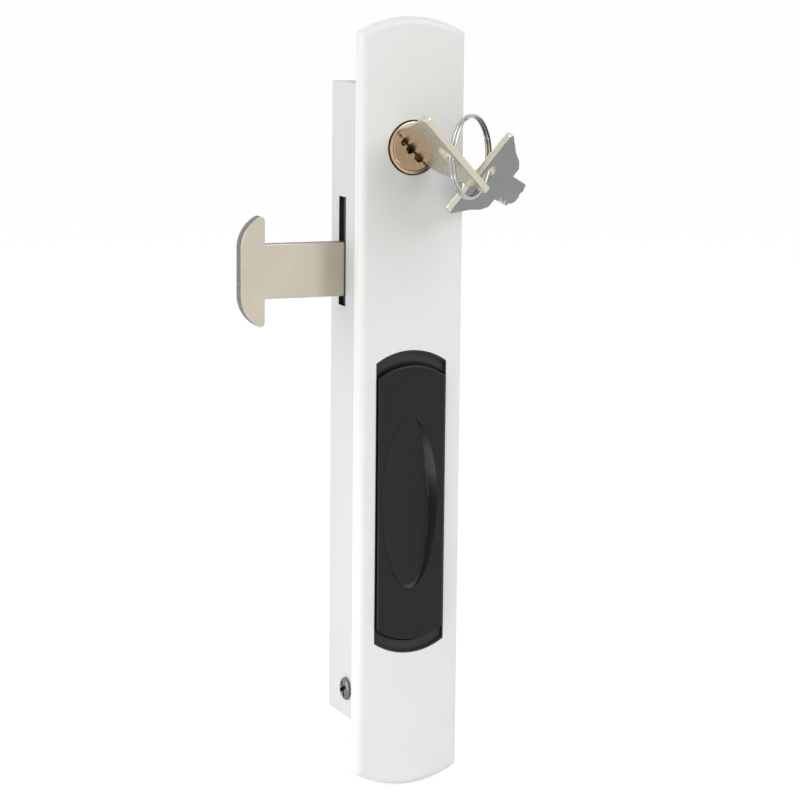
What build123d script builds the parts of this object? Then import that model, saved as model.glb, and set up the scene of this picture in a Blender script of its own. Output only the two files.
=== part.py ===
import math
import os

from build123d import *

# Sliding patio door lock, in millimetres.
# X runs across the face plate, and the T-bolt sticks out towards -X.
# Y runs into the door stile, and the visible face of the plate looks towards -Y.
# Z is up. The origin is the centre of the face plate's back, where it meets the stile.

# Face plate
plate_width = 31.5
plate_height = 220.0
plate_thickness = 4.5
plate_end_rise = 4.4
plate_edge_round = 2.1
plate_lug_wall = 0.2
upper_lug_height = 3.6
upper_lug_depth = 9.0
lower_lug_height = 11.0
lower_lug_depth = 13.5

# Lock case, an open-fronted tray of sheet steel behind the plate
case_width = 28.0
case_end_margin = 18.5
case_depth = 23.5
case_wall = 1.2
case_corner_round = 2.0

# Slot in the case's side for the T-bolt
slot_width = 5.2
slot_height = 31.0
slot_centre_y = 13.5
slot_centre_z = 43.6

# Fixing posts behind the two ends of the plate
post_end_margin = 10.3
post_length = 18.0
post_stem_radius = 4.0
post_flange_radius = 8.0
lower_flange_radius = 5.0
post_flange_thickness = 3.0
post_spigot_radius = 3.0
post_spigot_length = 2.4
post_thread_radius = 2.1
post_thread_depth = 14.0

# Screws that hold the case to the plate's lower lug
case_screw_radius = 1.75
case_screw_head_radius = 3.3
case_screw_head_height = 1.3
case_screw_head_round = 0.65
case_screw_recess_depth = 1.7
case_screw_length = 8.0
case_screw_y = 7.8
case_screw_end_margin = 8.5

# Cross recess in every screw head, as shares of the head's radius
cross_length_share = 1.1
cross_width_share = 0.24

# Opening in the plate and its black liner
opening_width = 21.4
opening_height = 87.6
opening_end_rise = 3.4
opening_centre_z = -26.8
liner_recess = 1.1
liner_floor = 1.4
liner_side_wall = 0.45

# Thumb slide with its finger dish
slide_proud = 1.2
slide_end_band = 4.1
slide_edge_round = 0.7
slide_travel = 3.5
dish_length_share = 0.62
dish_width = 17.0
dish_offset_x = -0.6
dish_depth = 3.0
dish_end_depth = 0.6
dish_shallow_share = 0.42
dish_rim_share = 0.04
dish_entry_share = 0.16
dish_steep_share = 0.13
dish_wall = 0.9
dish_floor_thickness = 3.9
slide_boss_radius = 2.6
slide_boss_end_margin = 8.7

# Carrier, a steel channel behind the thumb slide, and its screws
carrier_side_gap = 0.4
carrier_thickness = 1.2
carrier_lip_thickness = 1.1
carrier_bottom_z = -64.0
carrier_lip_top_z = 8.0
carrier_arm_half_width = 5.5
slide_screw_radius = 1.2
slide_screw_head_radius = 2.3
slide_screw_head_height = 1.2
slide_screw_length = 5.0

# T-bolt
bolt_travel = 9.9
bolt_thickness = 4.0
shank_height = 15.4
shank_centre_z = 38.7
shank_inner_x = 8.0
head_outer_x = -45.2
head_width = 7.1
head_height = 31.2
head_outer_radius = 10.0
head_inner_round = 1.3
bolt_edge_round = 0.35

# Carriage that carries the T-bolt up and down
carriage_front_y = 18.2
carriage_thickness = 2.8
carriage_side_gap = 1.8
carriage_bottom_z = 26.0
carriage_top_z = 51.0
carriage_tail_bottom_z = 10.5
carriage_tail_half_width = 3.0
tab_left_x = 6.3
tab_right_x = 9.4
tab_top_z = 63.6
tab_notch_depth = 1.9
tab_notch_low_z = 53.5
tab_notch_high_z = 58.7
boss_half_width = 8.5
bolt_rivet_radius = 1.6
bolt_rivet_head_radius = 2.8
bolt_rivet_head_height = 1.0
bolt_rivet_spread_x = 5.6

# Guide rails on the case's back wall
rail_bottom_z = 24.0
rail_top_z = 61.5
rail_lip_thickness = 0.7
rail_lip_reach = 1.4

# Dust shield behind the slot
shield_thickness = 0.8
shield_depth = 7.6
shield_overlap = 1.2

# Detent ball and spring
detent_ball_radius = 1.5
detent_bore_radius = 1.65
detent_bore_floor_y = 16.2
detent_spring_wall = 0.45
spring_seat_share = 0.8
detent_hole_radius = 1.0

# Transfer lever, its pivot and its two drive pins
lever_pivot_wall_gap = 3.6
lever_pivot_z = 20.0
lever_long_arm = 16.4
lever_front_y = 8.0
lever_thickness = 2.0
lever_half_width = 3.0
lever_tip_half_width = 2.8
drive_pin_radius = 1.5
drive_pin_end_margin = 0.6
lever_slot_play = 0.12
lever_slot_extra = 0.8
lever_slot_wall = 1.3
pivot_journal_radius = 1.75
pivot_post_radius = 2.5
pivot_ring_thickness = 0.6
pivot_ring_radius = 3.0
pivot_ring_mouth = 2.1
pivot_end_margin = 0.5

# Lock cylinder
cylinder_z = 73.9
cylinder_radius = 7.4
cylinder_proud = 0.8
cylinder_back_y = 15.0
cylinder_flange_half_width = 8.4
cylinder_flange_half_height = 12.2
cylinder_flange_thickness = 2.5
cylinder_flange_corner_round = 4.2
cylinder_rim_round = 0.4
cylinder_rim_gap = 0.35
cylinder_screw_offset = 9.8
cylinder_screw_radius = 1.25
cylinder_screw_head_radius = 2.1
cylinder_screw_head_height = 1.3
cylinder_screw_grip = 2.6

# Plug, wafers and cam
plug_radius = 6.0
plug_head_radius = 6.5
plug_head_thickness = 1.0
plug_rim_round = 0.3
plug_back_y = 18.2
keyway_angle = -47.0
wafer_count = 5
wafer_thickness = 0.9
wafer_pitch = 2.6
wafer_first_y = -1.2
wafer_width = 5.6
wafer_height = 10.4
cam_length = 11.4
cam_half_width = 3.4
cam_hub_radius = 4.5
cam_thickness = 2.0
cam_tip_round = 1.4
cam_rest_angle = 234.0
cam_screw_radius = 1.5
cam_screw_depth = 4.6
cam_screw_head_radius = 2.6
cam_screw_head_height = 1.5

# Keys, both cut from the same blank
key_thickness = 1.8
bow_length = 28.0
bow_start = 2.2
bow_half_widths = (7.0, 9.8, 10.6, 14.0)
bow_place_shares = (0.0, 0.17, 0.36, 0.76)
bow_end_half_width = 12.7
bow_corner_round = 1.6
bow_hole_radius = 3.8
bow_hole_end_margin = 6.6
bow_hole_side = 0.5
blade_length = 19.4
blade_half_width = 4.2
blade_groove_width = 1.4
blade_groove_depth = 0.35
blade_groove_offset = 1.05
blade_tip_chamfer = 2.4
cut_depths = (1.2, 0.6, 1.6, 0.9, 1.4)
cut_flat_share = 0.7

# Split ring, two turns of wire side by side
ring_mean_radius = 11.2
ring_wire_radius = 0.5
ring_turn_gap = 0.05
ring_heading = 39.4
ring_lean = -4.8
ring_hang_out = 1.8
ring_hang_side = 0.2

# Spare key on the ring
spare_ring_angle = -22.7
spare_heading = 51.4
spare_dip = -12.4
spare_roll = 36.5
spare_hang = 0.3
spare_side = -0.4

# Clearances
running_clearance = 0.05
small_clearance = 0.1
slide_clearance = 0.3
loose_clearance = 0.5
window_clearance = 1.0
cut_overrun = 2.0

# Levels worked out from the sizes above
plate_front_y = -plate_thickness
post_height_from_centre = plate_height / 2 - post_end_margin
case_height = plate_height - 2 * case_end_margin
case_screw_z = case_screw_end_margin - case_height / 2
case_inner_x = case_width / 2 - case_wall
case_inner_z = case_height / 2 - case_wall
case_inner_y = case_depth - case_wall
case_side_x = case_width / 2
slot_low_z = slot_centre_z - slot_height / 2
slot_high_z = slot_centre_z + slot_height / 2
liner_front_y = plate_front_y + liner_recess
liner_back_y = liner_front_y + liner_floor
slide_front_y = plate_front_y - slide_proud
slide_cap_back_y = liner_front_y - slide_clearance
slide_half_width = opening_width / 2 - liner_side_wall
slide_length = opening_height - 2 * slide_end_band
slide_boss_offset_z = slide_length / 2 - slide_boss_end_margin
dish_length = slide_length * dish_length_share
dish_floor_y = slide_front_y + dish_depth
dish_back_y = dish_floor_y + dish_floor_thickness
carrier_front_y = dish_back_y + small_clearance
carrier_back_y = carrier_front_y + carrier_thickness
carrier_half_width = case_inner_x - carrier_side_gap
carriage_half_width = case_inner_x - carriage_side_gap
lever_pivot_x = case_inner_x - lever_pivot_wall_gap
bow_hole_place = bow_start + bow_length - bow_hole_end_margin
bolt_front_y = slot_centre_y - bolt_thickness / 2
bolt_back_y = slot_centre_y + bolt_thickness / 2
head_inner_x = head_outer_x + head_width
carriage_back_y = carriage_front_y + carriage_thickness
lever_back_y = lever_front_y + lever_thickness
lever_short_arm = lever_long_arm * slide_travel / bolt_travel
bolt_pin_x = lever_pivot_x - lever_long_arm
bolt_pin_z = lever_pivot_z - bolt_travel / 2
slide_pin_x = lever_pivot_x - lever_short_arm
slide_pin_z = lever_pivot_z - slide_travel / 2
lever_rest_angle = math.degrees(math.atan2(bolt_travel / 2, lever_long_arm))
carrier_arm_top_z = slide_pin_z + lever_half_width
cylinder_front_y = plate_front_y - cylinder_proud
plug_front_y = cylinder_front_y - small_clearance
plug_neck_y = plug_front_y + plug_head_thickness
cam_front_y = plug_back_y
cam_back_y = cam_front_y + cam_thickness
key_turn_rad = math.radians(keyway_angle)
detent_z = shank_centre_z


def block(x_low, x_high, y_low, y_high, z_low, z_high):
    """A box between two values on each axis."""
    size = (x_high - x_low, y_high - y_low, z_high - z_low)
    middle = ((x_low + x_high) / 2, (y_low + y_high) / 2, (z_low + z_high) / 2)
    return Pos(*middle) * Box(*size)


def rod_y(x, z, radius, y_low, y_high):
    """A round bar along Y."""
    length = y_high - y_low
    place = Pos(x, (y_low + y_high) / 2, z) * Rot(90, 0, 0)
    return place * Cylinder(radius, length)


def rod_x(y, z, radius, x_low, x_high):
    """A round bar along X."""
    length = x_high - x_low
    place = Pos((x_low + x_high) / 2, y, z) * Rot(0, 90, 0)
    return place * Cylinder(radius, length)


def front_plane(y):
    """A drawing plane seen from the front: drawn x is X, drawn y is Z, depth runs to +Y."""
    return Plane(origin=(0, y, 0), x_dir=(1, 0, 0), z_dir=(0, -1, 0))


def slab(face, y_low, y_high):
    """A drawn face pushed from y_low to y_high."""
    return extrude(front_plane(y_high) * face, y_high - y_low)


def arched_face(width, height, rise, centre_z):
    """An upright strip whose two ends are shallow arcs."""
    half = width / 2
    top = height / 2
    shoulder = top - rise
    right = Line((half, -shoulder), (half, shoulder))
    upper = ThreePointArc((half, shoulder), (0, top), (-half, shoulder))
    left = Line((-half, shoulder), (-half, -shoulder))
    lower = ThreePointArc((-half, -shoulder), (0, -top), (half, -shoulder))
    outline = right + upper + left + lower
    return Pos(0, centre_z) * make_face(outline)


def polygon_face(points):
    """A face inside straight lines through the points."""
    return make_face(Polyline(*points, close=True))


def largest(shape):
    """The biggest solid of a shape, as a single solid."""
    return max(shape.solids(), key=lambda solid: solid.volume)


def face_plate():
    """Cast plate with arched ends, rounded front edges, and two lugs behind it."""
    outline = arched_face(plate_width, plate_height, plate_end_rise, 0)
    body = slab(outline, plate_front_y, 0)
    front_edges = body.faces().sort_by(Axis.Y)[0].edges()
    body = fillet(front_edges, plate_edge_round)
    opening = arched_face(opening_width, opening_height, opening_end_rise, opening_centre_z)
    body = body - slab(opening, plate_front_y - cut_overrun, cut_overrun)
    hole_radius = cylinder_radius + cylinder_rim_gap
    body = body - rod_y(0, cylinder_z, hole_radius, plate_front_y - cut_overrun, cut_overrun)
    lug_x = case_inner_x - plate_lug_wall
    upper_top = case_inner_z - slide_clearance
    upper_low = upper_top - upper_lug_height
    body = body + block(-lug_x, lug_x, 0, upper_lug_depth, upper_low, upper_top)
    lower_low = case_screw_z - lower_lug_height / 2
    lower_top = case_screw_z + lower_lug_height / 2
    body = body + block(-lug_x, lug_x, 0, lower_lug_depth, lower_low, lower_top)
    for side in (-1, 1):
        outer = side * (case_side_x + cut_overrun)
        inner = side * (case_side_x - case_screw_length)
        low, high = min(outer, inner), max(outer, inner)
        hole = case_screw_radius + running_clearance
        body = body - rod_x(case_screw_y, case_screw_z, hole, low, high)
        socket = post_spigot_radius + running_clearance
        socket_depth = post_spigot_length + small_clearance
        post_z = side * post_height_from_centre
        body = body - rod_y(0, post_z, socket, -socket_depth, cut_overrun)
        screw_z = cylinder_z + side * cylinder_screw_offset
        thread = cylinder_screw_radius + running_clearance
        thread_depth = cylinder_screw_grip + small_clearance
        body = body - rod_y(0, screw_z, thread, -thread_depth, cut_overrun)
    return largest(body)


def fixing_post(side, flange_radius):
    """Turned post with a threaded bore in its rear end and a spigot in the plate."""
    z = side * post_height_from_centre
    flange_low = post_length - post_flange_thickness
    post = rod_y(0, z, post_stem_radius, 0, post_length)
    post = post + rod_y(0, z, post_spigot_radius, -post_spigot_length, 0)
    post = post + rod_y(0, z, flange_radius, flange_low, post_length)
    bore_floor = post_length - post_thread_depth
    return post - rod_y(0, z, post_thread_radius, bore_floor, post_length + cut_overrun)


def lock_case():
    """Open-fronted sheet tray, with the bolt slot, screw holes and detent holes."""
    top = case_height / 2
    outer = block(-case_side_x, case_side_x, 0, case_depth, -top, top)
    rear_edges = outer.faces().sort_by(Axis.Y)[-1].edges()
    outer = fillet(rear_edges, case_corner_round)
    inner = block(-case_inner_x, case_inner_x, -cut_overrun, case_inner_y, -case_inner_z, case_inner_z)
    inner_edges = inner.faces().sort_by(Axis.Y)[-1].edges()
    inner = fillet(inner_edges, case_corner_round - case_wall)
    body = outer - inner
    slot_low_y = slot_centre_y - slot_width / 2
    slot_high_y = slot_centre_y + slot_width / 2
    slot_out_x = -case_side_x - cut_overrun
    slot_in_x = -case_inner_x + cut_overrun
    body = body - block(slot_out_x, slot_in_x, slot_low_y, slot_high_y, slot_low_z, slot_high_z)
    hole = case_screw_radius + small_clearance
    reach = case_side_x + cut_overrun
    body = body - rod_x(case_screw_y, case_screw_z, hole, -reach, reach)
    for travelled in (0, bolt_travel):
        z = detent_z + travelled
        body = body - rod_y(0, z, detent_hole_radius, case_inner_y - cut_overrun, case_depth + cut_overrun)
    rivet_hole = pivot_journal_radius + running_clearance
    body = body - rod_y(
        lever_pivot_x, lever_pivot_z, rivet_hole, case_inner_y - cut_overrun, case_depth + cut_overrun
    )
    return largest(body)


def cross_recess(radius, depth):
    """Two crossed bars, centred on the origin with their depth along Z."""
    long_side = radius * cross_length_share
    short_side = radius * cross_width_share
    bar = Box(long_side, short_side, depth)
    return bar + Rot(0, 0, 90) * bar


def case_side_screws():
    """Two cross-head screws through the case's sides into the lower lug."""
    screws = []
    for side in (-1, 1):
        face_x = side * case_side_x
        tip_x = side * (case_side_x - case_screw_length + small_clearance)
        head_x = side * (case_side_x + case_screw_head_height)
        shank = rod_x(case_screw_y, case_screw_z, case_screw_radius, min(face_x, tip_x), max(face_x, tip_x))
        head = rod_x(
            case_screw_y, case_screw_z, case_screw_head_radius, min(face_x, head_x), max(face_x, head_x)
        )
        rim = head.faces().sort_by(Axis.X)[0 if side < 0 else -1].edges()
        head = fillet(rim, case_screw_head_round)
        recess = Pos(head_x, case_screw_y, case_screw_z) * Rot(0, 90, 0)
        recess = recess * cross_recess(case_screw_head_radius, case_screw_recess_depth)
        screws.append(largest(shank + head - recess))
    return Compound(children=screws)


def slide_liner():
    """Black frame in the opening, with a recessed floor past each end of the slide."""
    gap = running_clearance
    outer = arched_face(
        opening_width - 2 * gap, opening_height - 2 * gap, opening_end_rise, opening_centre_z
    )
    frame = slab(outer, plate_front_y + gap, liner_back_y)
    pocket = arched_face(
        opening_width - 2 * liner_side_wall + slide_clearance,
        opening_height - 2 * liner_side_wall,
        opening_end_rise,
        opening_centre_z,
    )
    frame = frame - slab(pocket, plate_front_y - cut_overrun, liner_front_y)
    window_half = slide_half_width
    window_reach = dish_length / 2 + dish_wall + window_clearance
    window_top = opening_centre_z + window_reach + slide_travel
    window_low = opening_centre_z - window_reach
    frame = frame - block(
        -window_half, window_half, plate_front_y, cut_overrun, window_low, window_top
    )
    for side in (-1, 1):
        z = opening_centre_z + side * slide_boss_offset_z
        half = slide_boss_radius + loose_clearance
        low = z - half
        high = z + half + slide_travel
        frame = frame - block(-half, half, plate_front_y, cut_overrun, low, high)
    return largest(frame)


def dish_tool():
    """The hollow of the finger dish: an upright ellipse whose floor falls away to the right."""
    half_length = dish_length / 2
    half_width = dish_width / 2
    shallow = dish_depth * dish_shallow_share
    left_x = dish_offset_x - half_width
    right_x = dish_offset_x + half_width
    rim = dish_width * dish_rim_share
    wall_x = right_x - dish_width * dish_steep_share
    column = Pos(dish_offset_x, opening_centre_z) * Ellipse(half_width, half_length)
    hollow = slab(column, slide_front_y - cut_overrun, dish_floor_y)
    section = Plane(origin=(0, 0, opening_centre_z), x_dir=(1, 0, 0), z_dir=(0, 0, 1))
    points = (
        (left_x - rim, slide_front_y - cut_overrun),
        (left_x - rim, slide_front_y),
        (left_x + dish_width * dish_entry_share, slide_front_y + shallow),
        (wall_x, dish_floor_y),
        (right_x + rim, slide_front_y),
        (right_x + rim, slide_front_y - cut_overrun),
    )
    wedge = extrude(section * polygon_face(points), half_length + cut_overrun, both=True)
    return hollow & wedge


def end_scoop():
    """A large drum across the slide, whose curve makes the dish shallow at both ends."""
    half_length = dish_length / 2
    sag = dish_depth - dish_end_depth
    drum_radius = (half_length**2 + sag**2) / (2 * sag)
    drum = rod_x(dish_floor_y - drum_radius, opening_centre_z, drum_radius, -dish_width, dish_width)
    return drum


def thumb_slide():
    """Black cap that moves up and down, with the finger dish and two screw bosses."""
    outline = arched_face(
        2 * (slide_half_width - running_clearance), slide_length, opening_end_rise, opening_centre_z
    )
    cap = slab(outline, slide_front_y, slide_cap_back_y)
    front_edges = cap.faces().sort_by(Axis.Y)[0].edges()
    cap = fillet(front_edges, slide_edge_round)
    shell_half = dish_width / 2 + dish_wall
    shell_half_z = dish_length / 2 + dish_wall
    shell = Pos(dish_offset_x, opening_centre_z) * Ellipse(shell_half, shell_half_z)
    cap = cap + slab(shell, slide_cap_back_y, dish_back_y)
    for side in (-1, 1):
        z = opening_centre_z + side * slide_boss_offset_z
        cap = cap + rod_y(0, z, slide_boss_radius, slide_cap_back_y, carrier_front_y)
        hole = slide_screw_radius + running_clearance
        hole_low = carrier_front_y - slide_screw_length
        cap = cap - rod_y(0, z, hole, hole_low, carrier_front_y + cut_overrun)
    hollow = dish_tool() & end_scoop()
    return largest(cap - hollow)


def slide_carrier():
    """Steel channel behind the thumb slide, whose arm holds the drive pin."""
    lip_front_y = slide_clearance
    carrier = block(
        -carrier_half_width, carrier_half_width, carrier_front_y, carrier_back_y,
        carrier_bottom_z, carrier_lip_top_z,
    )
    for side in (-1, 1):
        outer = side * carrier_half_width
        inner = side * (carrier_half_width - carrier_lip_thickness)
        lip = block(
            min(outer, inner), max(outer, inner), lip_front_y, carrier_back_y,
            carrier_bottom_z, carrier_lip_top_z,
        )
        carrier = carrier + lip
    arm_low = slide_pin_x - carrier_arm_half_width
    arm_high = slide_pin_x + carrier_arm_half_width
    carrier = carrier + block(
        arm_low, arm_high, carrier_front_y, carrier_back_y, carrier_bottom_z, carrier_arm_top_z
    )
    for side in (-1, 1):
        z = opening_centre_z + side * slide_boss_offset_z
        hole = slide_screw_radius + small_clearance
        carrier = carrier - rod_y(0, z, hole, carrier_front_y - cut_overrun, carrier_back_y + cut_overrun)
    pin_hole = drive_pin_radius + running_clearance
    carrier = carrier - rod_y(
        slide_pin_x, slide_pin_z, pin_hole, carrier_front_y - cut_overrun, carrier_back_y + cut_overrun
    )
    return largest(carrier)


def slide_screws():
    """Two screws that hold the carrier to the thumb slide."""
    screws = []
    for side in (-1, 1):
        z = opening_centre_z + side * slide_boss_offset_z
        tip_y = carrier_front_y - slide_screw_length + small_clearance
        head_top = carrier_back_y + slide_screw_head_height
        shank = rod_y(0, z, slide_screw_radius, tip_y, carrier_back_y)
        head = rod_y(0, z, slide_screw_head_radius, carrier_back_y, head_top)
        recess = Pos(0, head_top, z) * Rot(90, 0, 0)
        recess = recess * cross_recess(slide_screw_head_radius, slide_screw_head_height)
        screws.append(largest(shank + head - recess))
    return Compound(children=screws)


def slide_drive_pin():
    """Pin on the carrier's arm that works in the lever's inner slot."""
    end_y = lever_back_y + drive_pin_end_margin
    return rod_y(slide_pin_x, slide_pin_z, drive_pin_radius, carrier_front_y, end_y)


def lever_slot(arm):
    """A long hole for a drive pin, at the lever's own angle."""
    half_width = drive_pin_radius + lever_slot_play
    half_length = half_width + lever_slot_extra
    hole = Pos(-arm, 0) * SlotOverall(2 * half_length, 2 * half_width)
    return hole


def transfer_lever():
    """Lever from the carrier's pin to the carriage's pin, drawn level and then turned."""
    tip_x = -lever_long_arm - drive_pin_radius - lever_slot_extra - lever_slot_wall
    points = (
        (0, lever_half_width),
        (tip_x, lever_tip_half_width),
        (tip_x, -lever_tip_half_width),
        (0, -lever_half_width),
    )
    outline = polygon_face(points) + Circle(lever_half_width)
    outline = outline - Circle(pivot_journal_radius + running_clearance)
    outline = outline - lever_slot(lever_short_arm)
    outline = outline - lever_slot(lever_long_arm)
    turned = Pos(lever_pivot_x, lever_pivot_z) * Rot(0, 0, lever_rest_angle) * outline
    return largest(slab(turned, lever_front_y, lever_back_y))


def lever_pivot_pin():
    """Stepped pin riveted in the case's back wall, which carries the lever."""
    journal_end = lever_front_y - pivot_ring_thickness - pivot_end_margin
    shoulder_y = lever_back_y + small_clearance
    pin = rod_y(lever_pivot_x, lever_pivot_z, pivot_journal_radius, journal_end, case_depth)
    pin = pin + rod_y(lever_pivot_x, lever_pivot_z, pivot_post_radius, shoulder_y, case_inner_y)
    return pin


def lever_retaining_ring():
    """Ring on the pivot pin's front end, in front of the lever."""
    low = lever_front_y - pivot_ring_thickness - small_clearance
    high = lever_front_y - small_clearance
    ring = rod_y(lever_pivot_x, lever_pivot_z, pivot_ring_radius, low, high)
    hole = pivot_journal_radius
    ring = ring - rod_y(lever_pivot_x, lever_pivot_z, hole, low - cut_overrun, high + cut_overrun)
    gap_half = pivot_ring_mouth / 2
    reach = pivot_ring_radius + cut_overrun
    mouth = block(
        lever_pivot_x - reach, lever_pivot_x, low - cut_overrun, high + cut_overrun,
        lever_pivot_z - gap_half, lever_pivot_z + gap_half,
    )
    return largest(ring - mouth)


def head_shoulder():
    """Upper half of the head's outline, from the shank round to the middle of its outer side."""
    big = head_outer_radius
    small = head_inner_round
    crown_x = head_inner_x - small
    crown_z = head_height / 2
    centre_x = head_outer_x + big
    centre_z = crown_z - math.sqrt(big**2 - (crown_x - centre_x) ** 2)
    lean = math.sqrt(1 / 2)
    inner = Line((head_inner_x, shank_height / 2), (head_inner_x, crown_z - small))
    corner_middle = (crown_x + small * lean, crown_z - small + small * lean)
    corner = ThreePointArc((head_inner_x, crown_z - small), corner_middle, (crown_x, crown_z))
    middle = (centre_x - big * lean, centre_z + big * lean)
    crown = ThreePointArc((crown_x, crown_z), middle, (head_outer_x, centre_z))
    side = Line((head_outer_x, centre_z), (head_outer_x, 0))
    return inner + corner + crown + side


def t_bolt():
    """Flat T-bolt: a shank through the case's slot and an upright head with round shoulders."""
    high = shank_height / 2
    lobe = head_shoulder()
    head = make_face(lobe + mirror(lobe, about=Plane.XZ) + Line((head_inner_x, high), (head_inner_x, -high)))
    shank = Pos((head_inner_x + shank_inner_x) / 2, 0) * Rectangle(shank_inner_x - head_inner_x, shank_height)
    face = Pos(0, shank_centre_z) * (head + shank)
    bolt = slab(face, bolt_front_y, bolt_back_y)
    front_edges = bolt.faces().sort_by(Axis.Y)[0].edges()
    bolt = fillet(front_edges, bolt_edge_round)
    for side in (-1, 1):
        x = side * bolt_rivet_spread_x
        hole = bolt_rivet_radius + running_clearance
        bolt = bolt - rod_y(x, shank_centre_z, hole, bolt_front_y - cut_overrun, bolt_back_y + cut_overrun)
    return largest(bolt)


def bolt_carriage():
    """Plate that runs in the guide rails, with a boss for the bolt and a tab for the cam."""
    half = carriage_half_width
    y_low, y_high = carriage_front_y, carriage_back_y
    carriage = block(-half, half, y_low, y_high, carriage_bottom_z, carriage_top_z)
    tail_low_x = bolt_pin_x - carriage_tail_half_width
    tail_high_x = bolt_pin_x + carriage_tail_half_width
    carriage = carriage + block(
        tail_low_x, tail_high_x, y_low, y_high, carriage_tail_bottom_z, carriage_bottom_z
    )
    carriage = carriage + block(tab_left_x, tab_right_x, y_low, y_high, carriage_top_z, tab_top_z)
    carriage = carriage - block(
        tab_left_x - cut_overrun, tab_left_x + tab_notch_depth,
        y_low - cut_overrun, y_high + cut_overrun, tab_notch_low_z, tab_notch_high_z,
    )
    boss_low = shank_centre_z - shank_height / 2
    boss_high = shank_centre_z + shank_height / 2
    carriage = carriage + block(
        -boss_half_width, boss_half_width, bolt_back_y, carriage_front_y, boss_low, boss_high
    )
    for side in (-1, 1):
        x = side * bolt_rivet_spread_x
        hole = bolt_rivet_radius + running_clearance
        carriage = carriage - rod_y(
            x, shank_centre_z, hole, bolt_back_y - cut_overrun, carriage_back_y + cut_overrun
        )
        sink = bolt_rivet_head_radius + running_clearance
        sink_floor = carriage_back_y - bolt_rivet_head_height
        carriage = carriage - rod_y(x, shank_centre_z, sink, sink_floor, carriage_back_y + cut_overrun)
    carriage = carriage - rod_y(
        0, detent_z, detent_bore_radius, detent_bore_floor_y, carriage_back_y + cut_overrun
    )
    pin_hole = drive_pin_radius + running_clearance
    carriage = carriage - rod_y(
        bolt_pin_x, bolt_pin_z, pin_hole, carriage_front_y - cut_overrun, carriage_back_y + cut_overrun
    )
    return largest(carriage)


def bolt_rivets():
    """Two rivets that join the T-bolt to its carriage."""
    rivets = []
    for side in (-1, 1):
        x = side * bolt_rivet_spread_x
        head_front = bolt_front_y - bolt_rivet_head_height
        head_floor = carriage_back_y - bolt_rivet_head_height
        rivet = rod_y(x, shank_centre_z, bolt_rivet_radius, bolt_front_y, carriage_back_y)
        rivet = rivet + rod_y(x, shank_centre_z, bolt_rivet_head_radius, head_front, bolt_front_y)
        rivet = rivet + rod_y(x, shank_centre_z, bolt_rivet_head_radius, head_floor, carriage_back_y)
        rivets.append(largest(rivet))
    return Compound(children=rivets)


def carriage_drive_pin():
    """Long pin on the carriage's tail that works in the lever's outer slot."""
    start_y = lever_front_y - drive_pin_end_margin
    return rod_y(bolt_pin_x, bolt_pin_z, drive_pin_radius, start_y, carriage_back_y)


def guide_rail(side):
    """Grooved rail on the case's back wall that guides one edge of the carriage."""
    groove_outer = carriage_half_width + slide_clearance
    lip_inner = carriage_half_width - rail_lip_reach
    front = carriage_front_y - slide_clearance - rail_lip_thickness
    groove_low = carriage_front_y - slide_clearance
    groove_high = carriage_back_y + slide_clearance
    body = block(lip_inner, case_inner_x, front, case_inner_y, rail_bottom_z, rail_top_z)
    groove = block(
        lip_inner - cut_overrun, groove_outer, groove_low, groove_high,
        rail_bottom_z - cut_overrun, rail_top_z + cut_overrun,
    )
    rear_edge = body.edges().filter_by(Axis.Z).sort_by(Axis.X)[-2:].sort_by(Axis.Y)[-1]
    body = fillet(rear_edge, case_corner_round - case_wall)
    rail = body - groove
    if side < 0:
        rail = mirror(rail, about=Plane.YZ)
    return largest(rail)


def bolt_dust_shield():
    """Thin strip on the shank that closes the slot from inside at every bolt position."""
    gap = slide_clearance
    outer_x = -case_inner_x + gap
    inner_x = outer_x + shield_thickness
    y_high = carriage_front_y - slide_clearance - rail_lip_thickness - slide_clearance
    y_low = y_high - shield_depth
    z_low = slot_low_z - bolt_travel - shield_overlap
    z_high = slot_high_z + shield_overlap
    strip = block(outer_x, inner_x, y_low, y_high, z_low, z_high)
    hole = block(
        outer_x - cut_overrun, inner_x + cut_overrun,
        bolt_front_y - running_clearance, bolt_back_y + running_clearance,
        shank_centre_z - shank_height / 2 - running_clearance,
        shank_centre_z + shank_height / 2 + running_clearance,
    )
    return largest(strip - hole)


def detent_ball():
    """Ball that drops into a hole in the case's back wall at each end of the travel."""
    y = case_inner_y - detent_ball_radius - small_clearance
    return Pos(0, y, detent_z) * Sphere(detent_ball_radius)


def detent_spring():
    """Short compression spring behind the ball, as a plain sleeve."""
    ball_y = case_inner_y - detent_ball_radius - small_clearance
    end_y = ball_y - detent_ball_radius * spring_seat_share
    sleeve = rod_y(0, detent_z, detent_ball_radius, detent_bore_floor_y, end_y)
    core = detent_ball_radius - detent_spring_wall
    return sleeve - rod_y(0, detent_z, core, detent_bore_floor_y - cut_overrun, end_y + cut_overrun)


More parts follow.
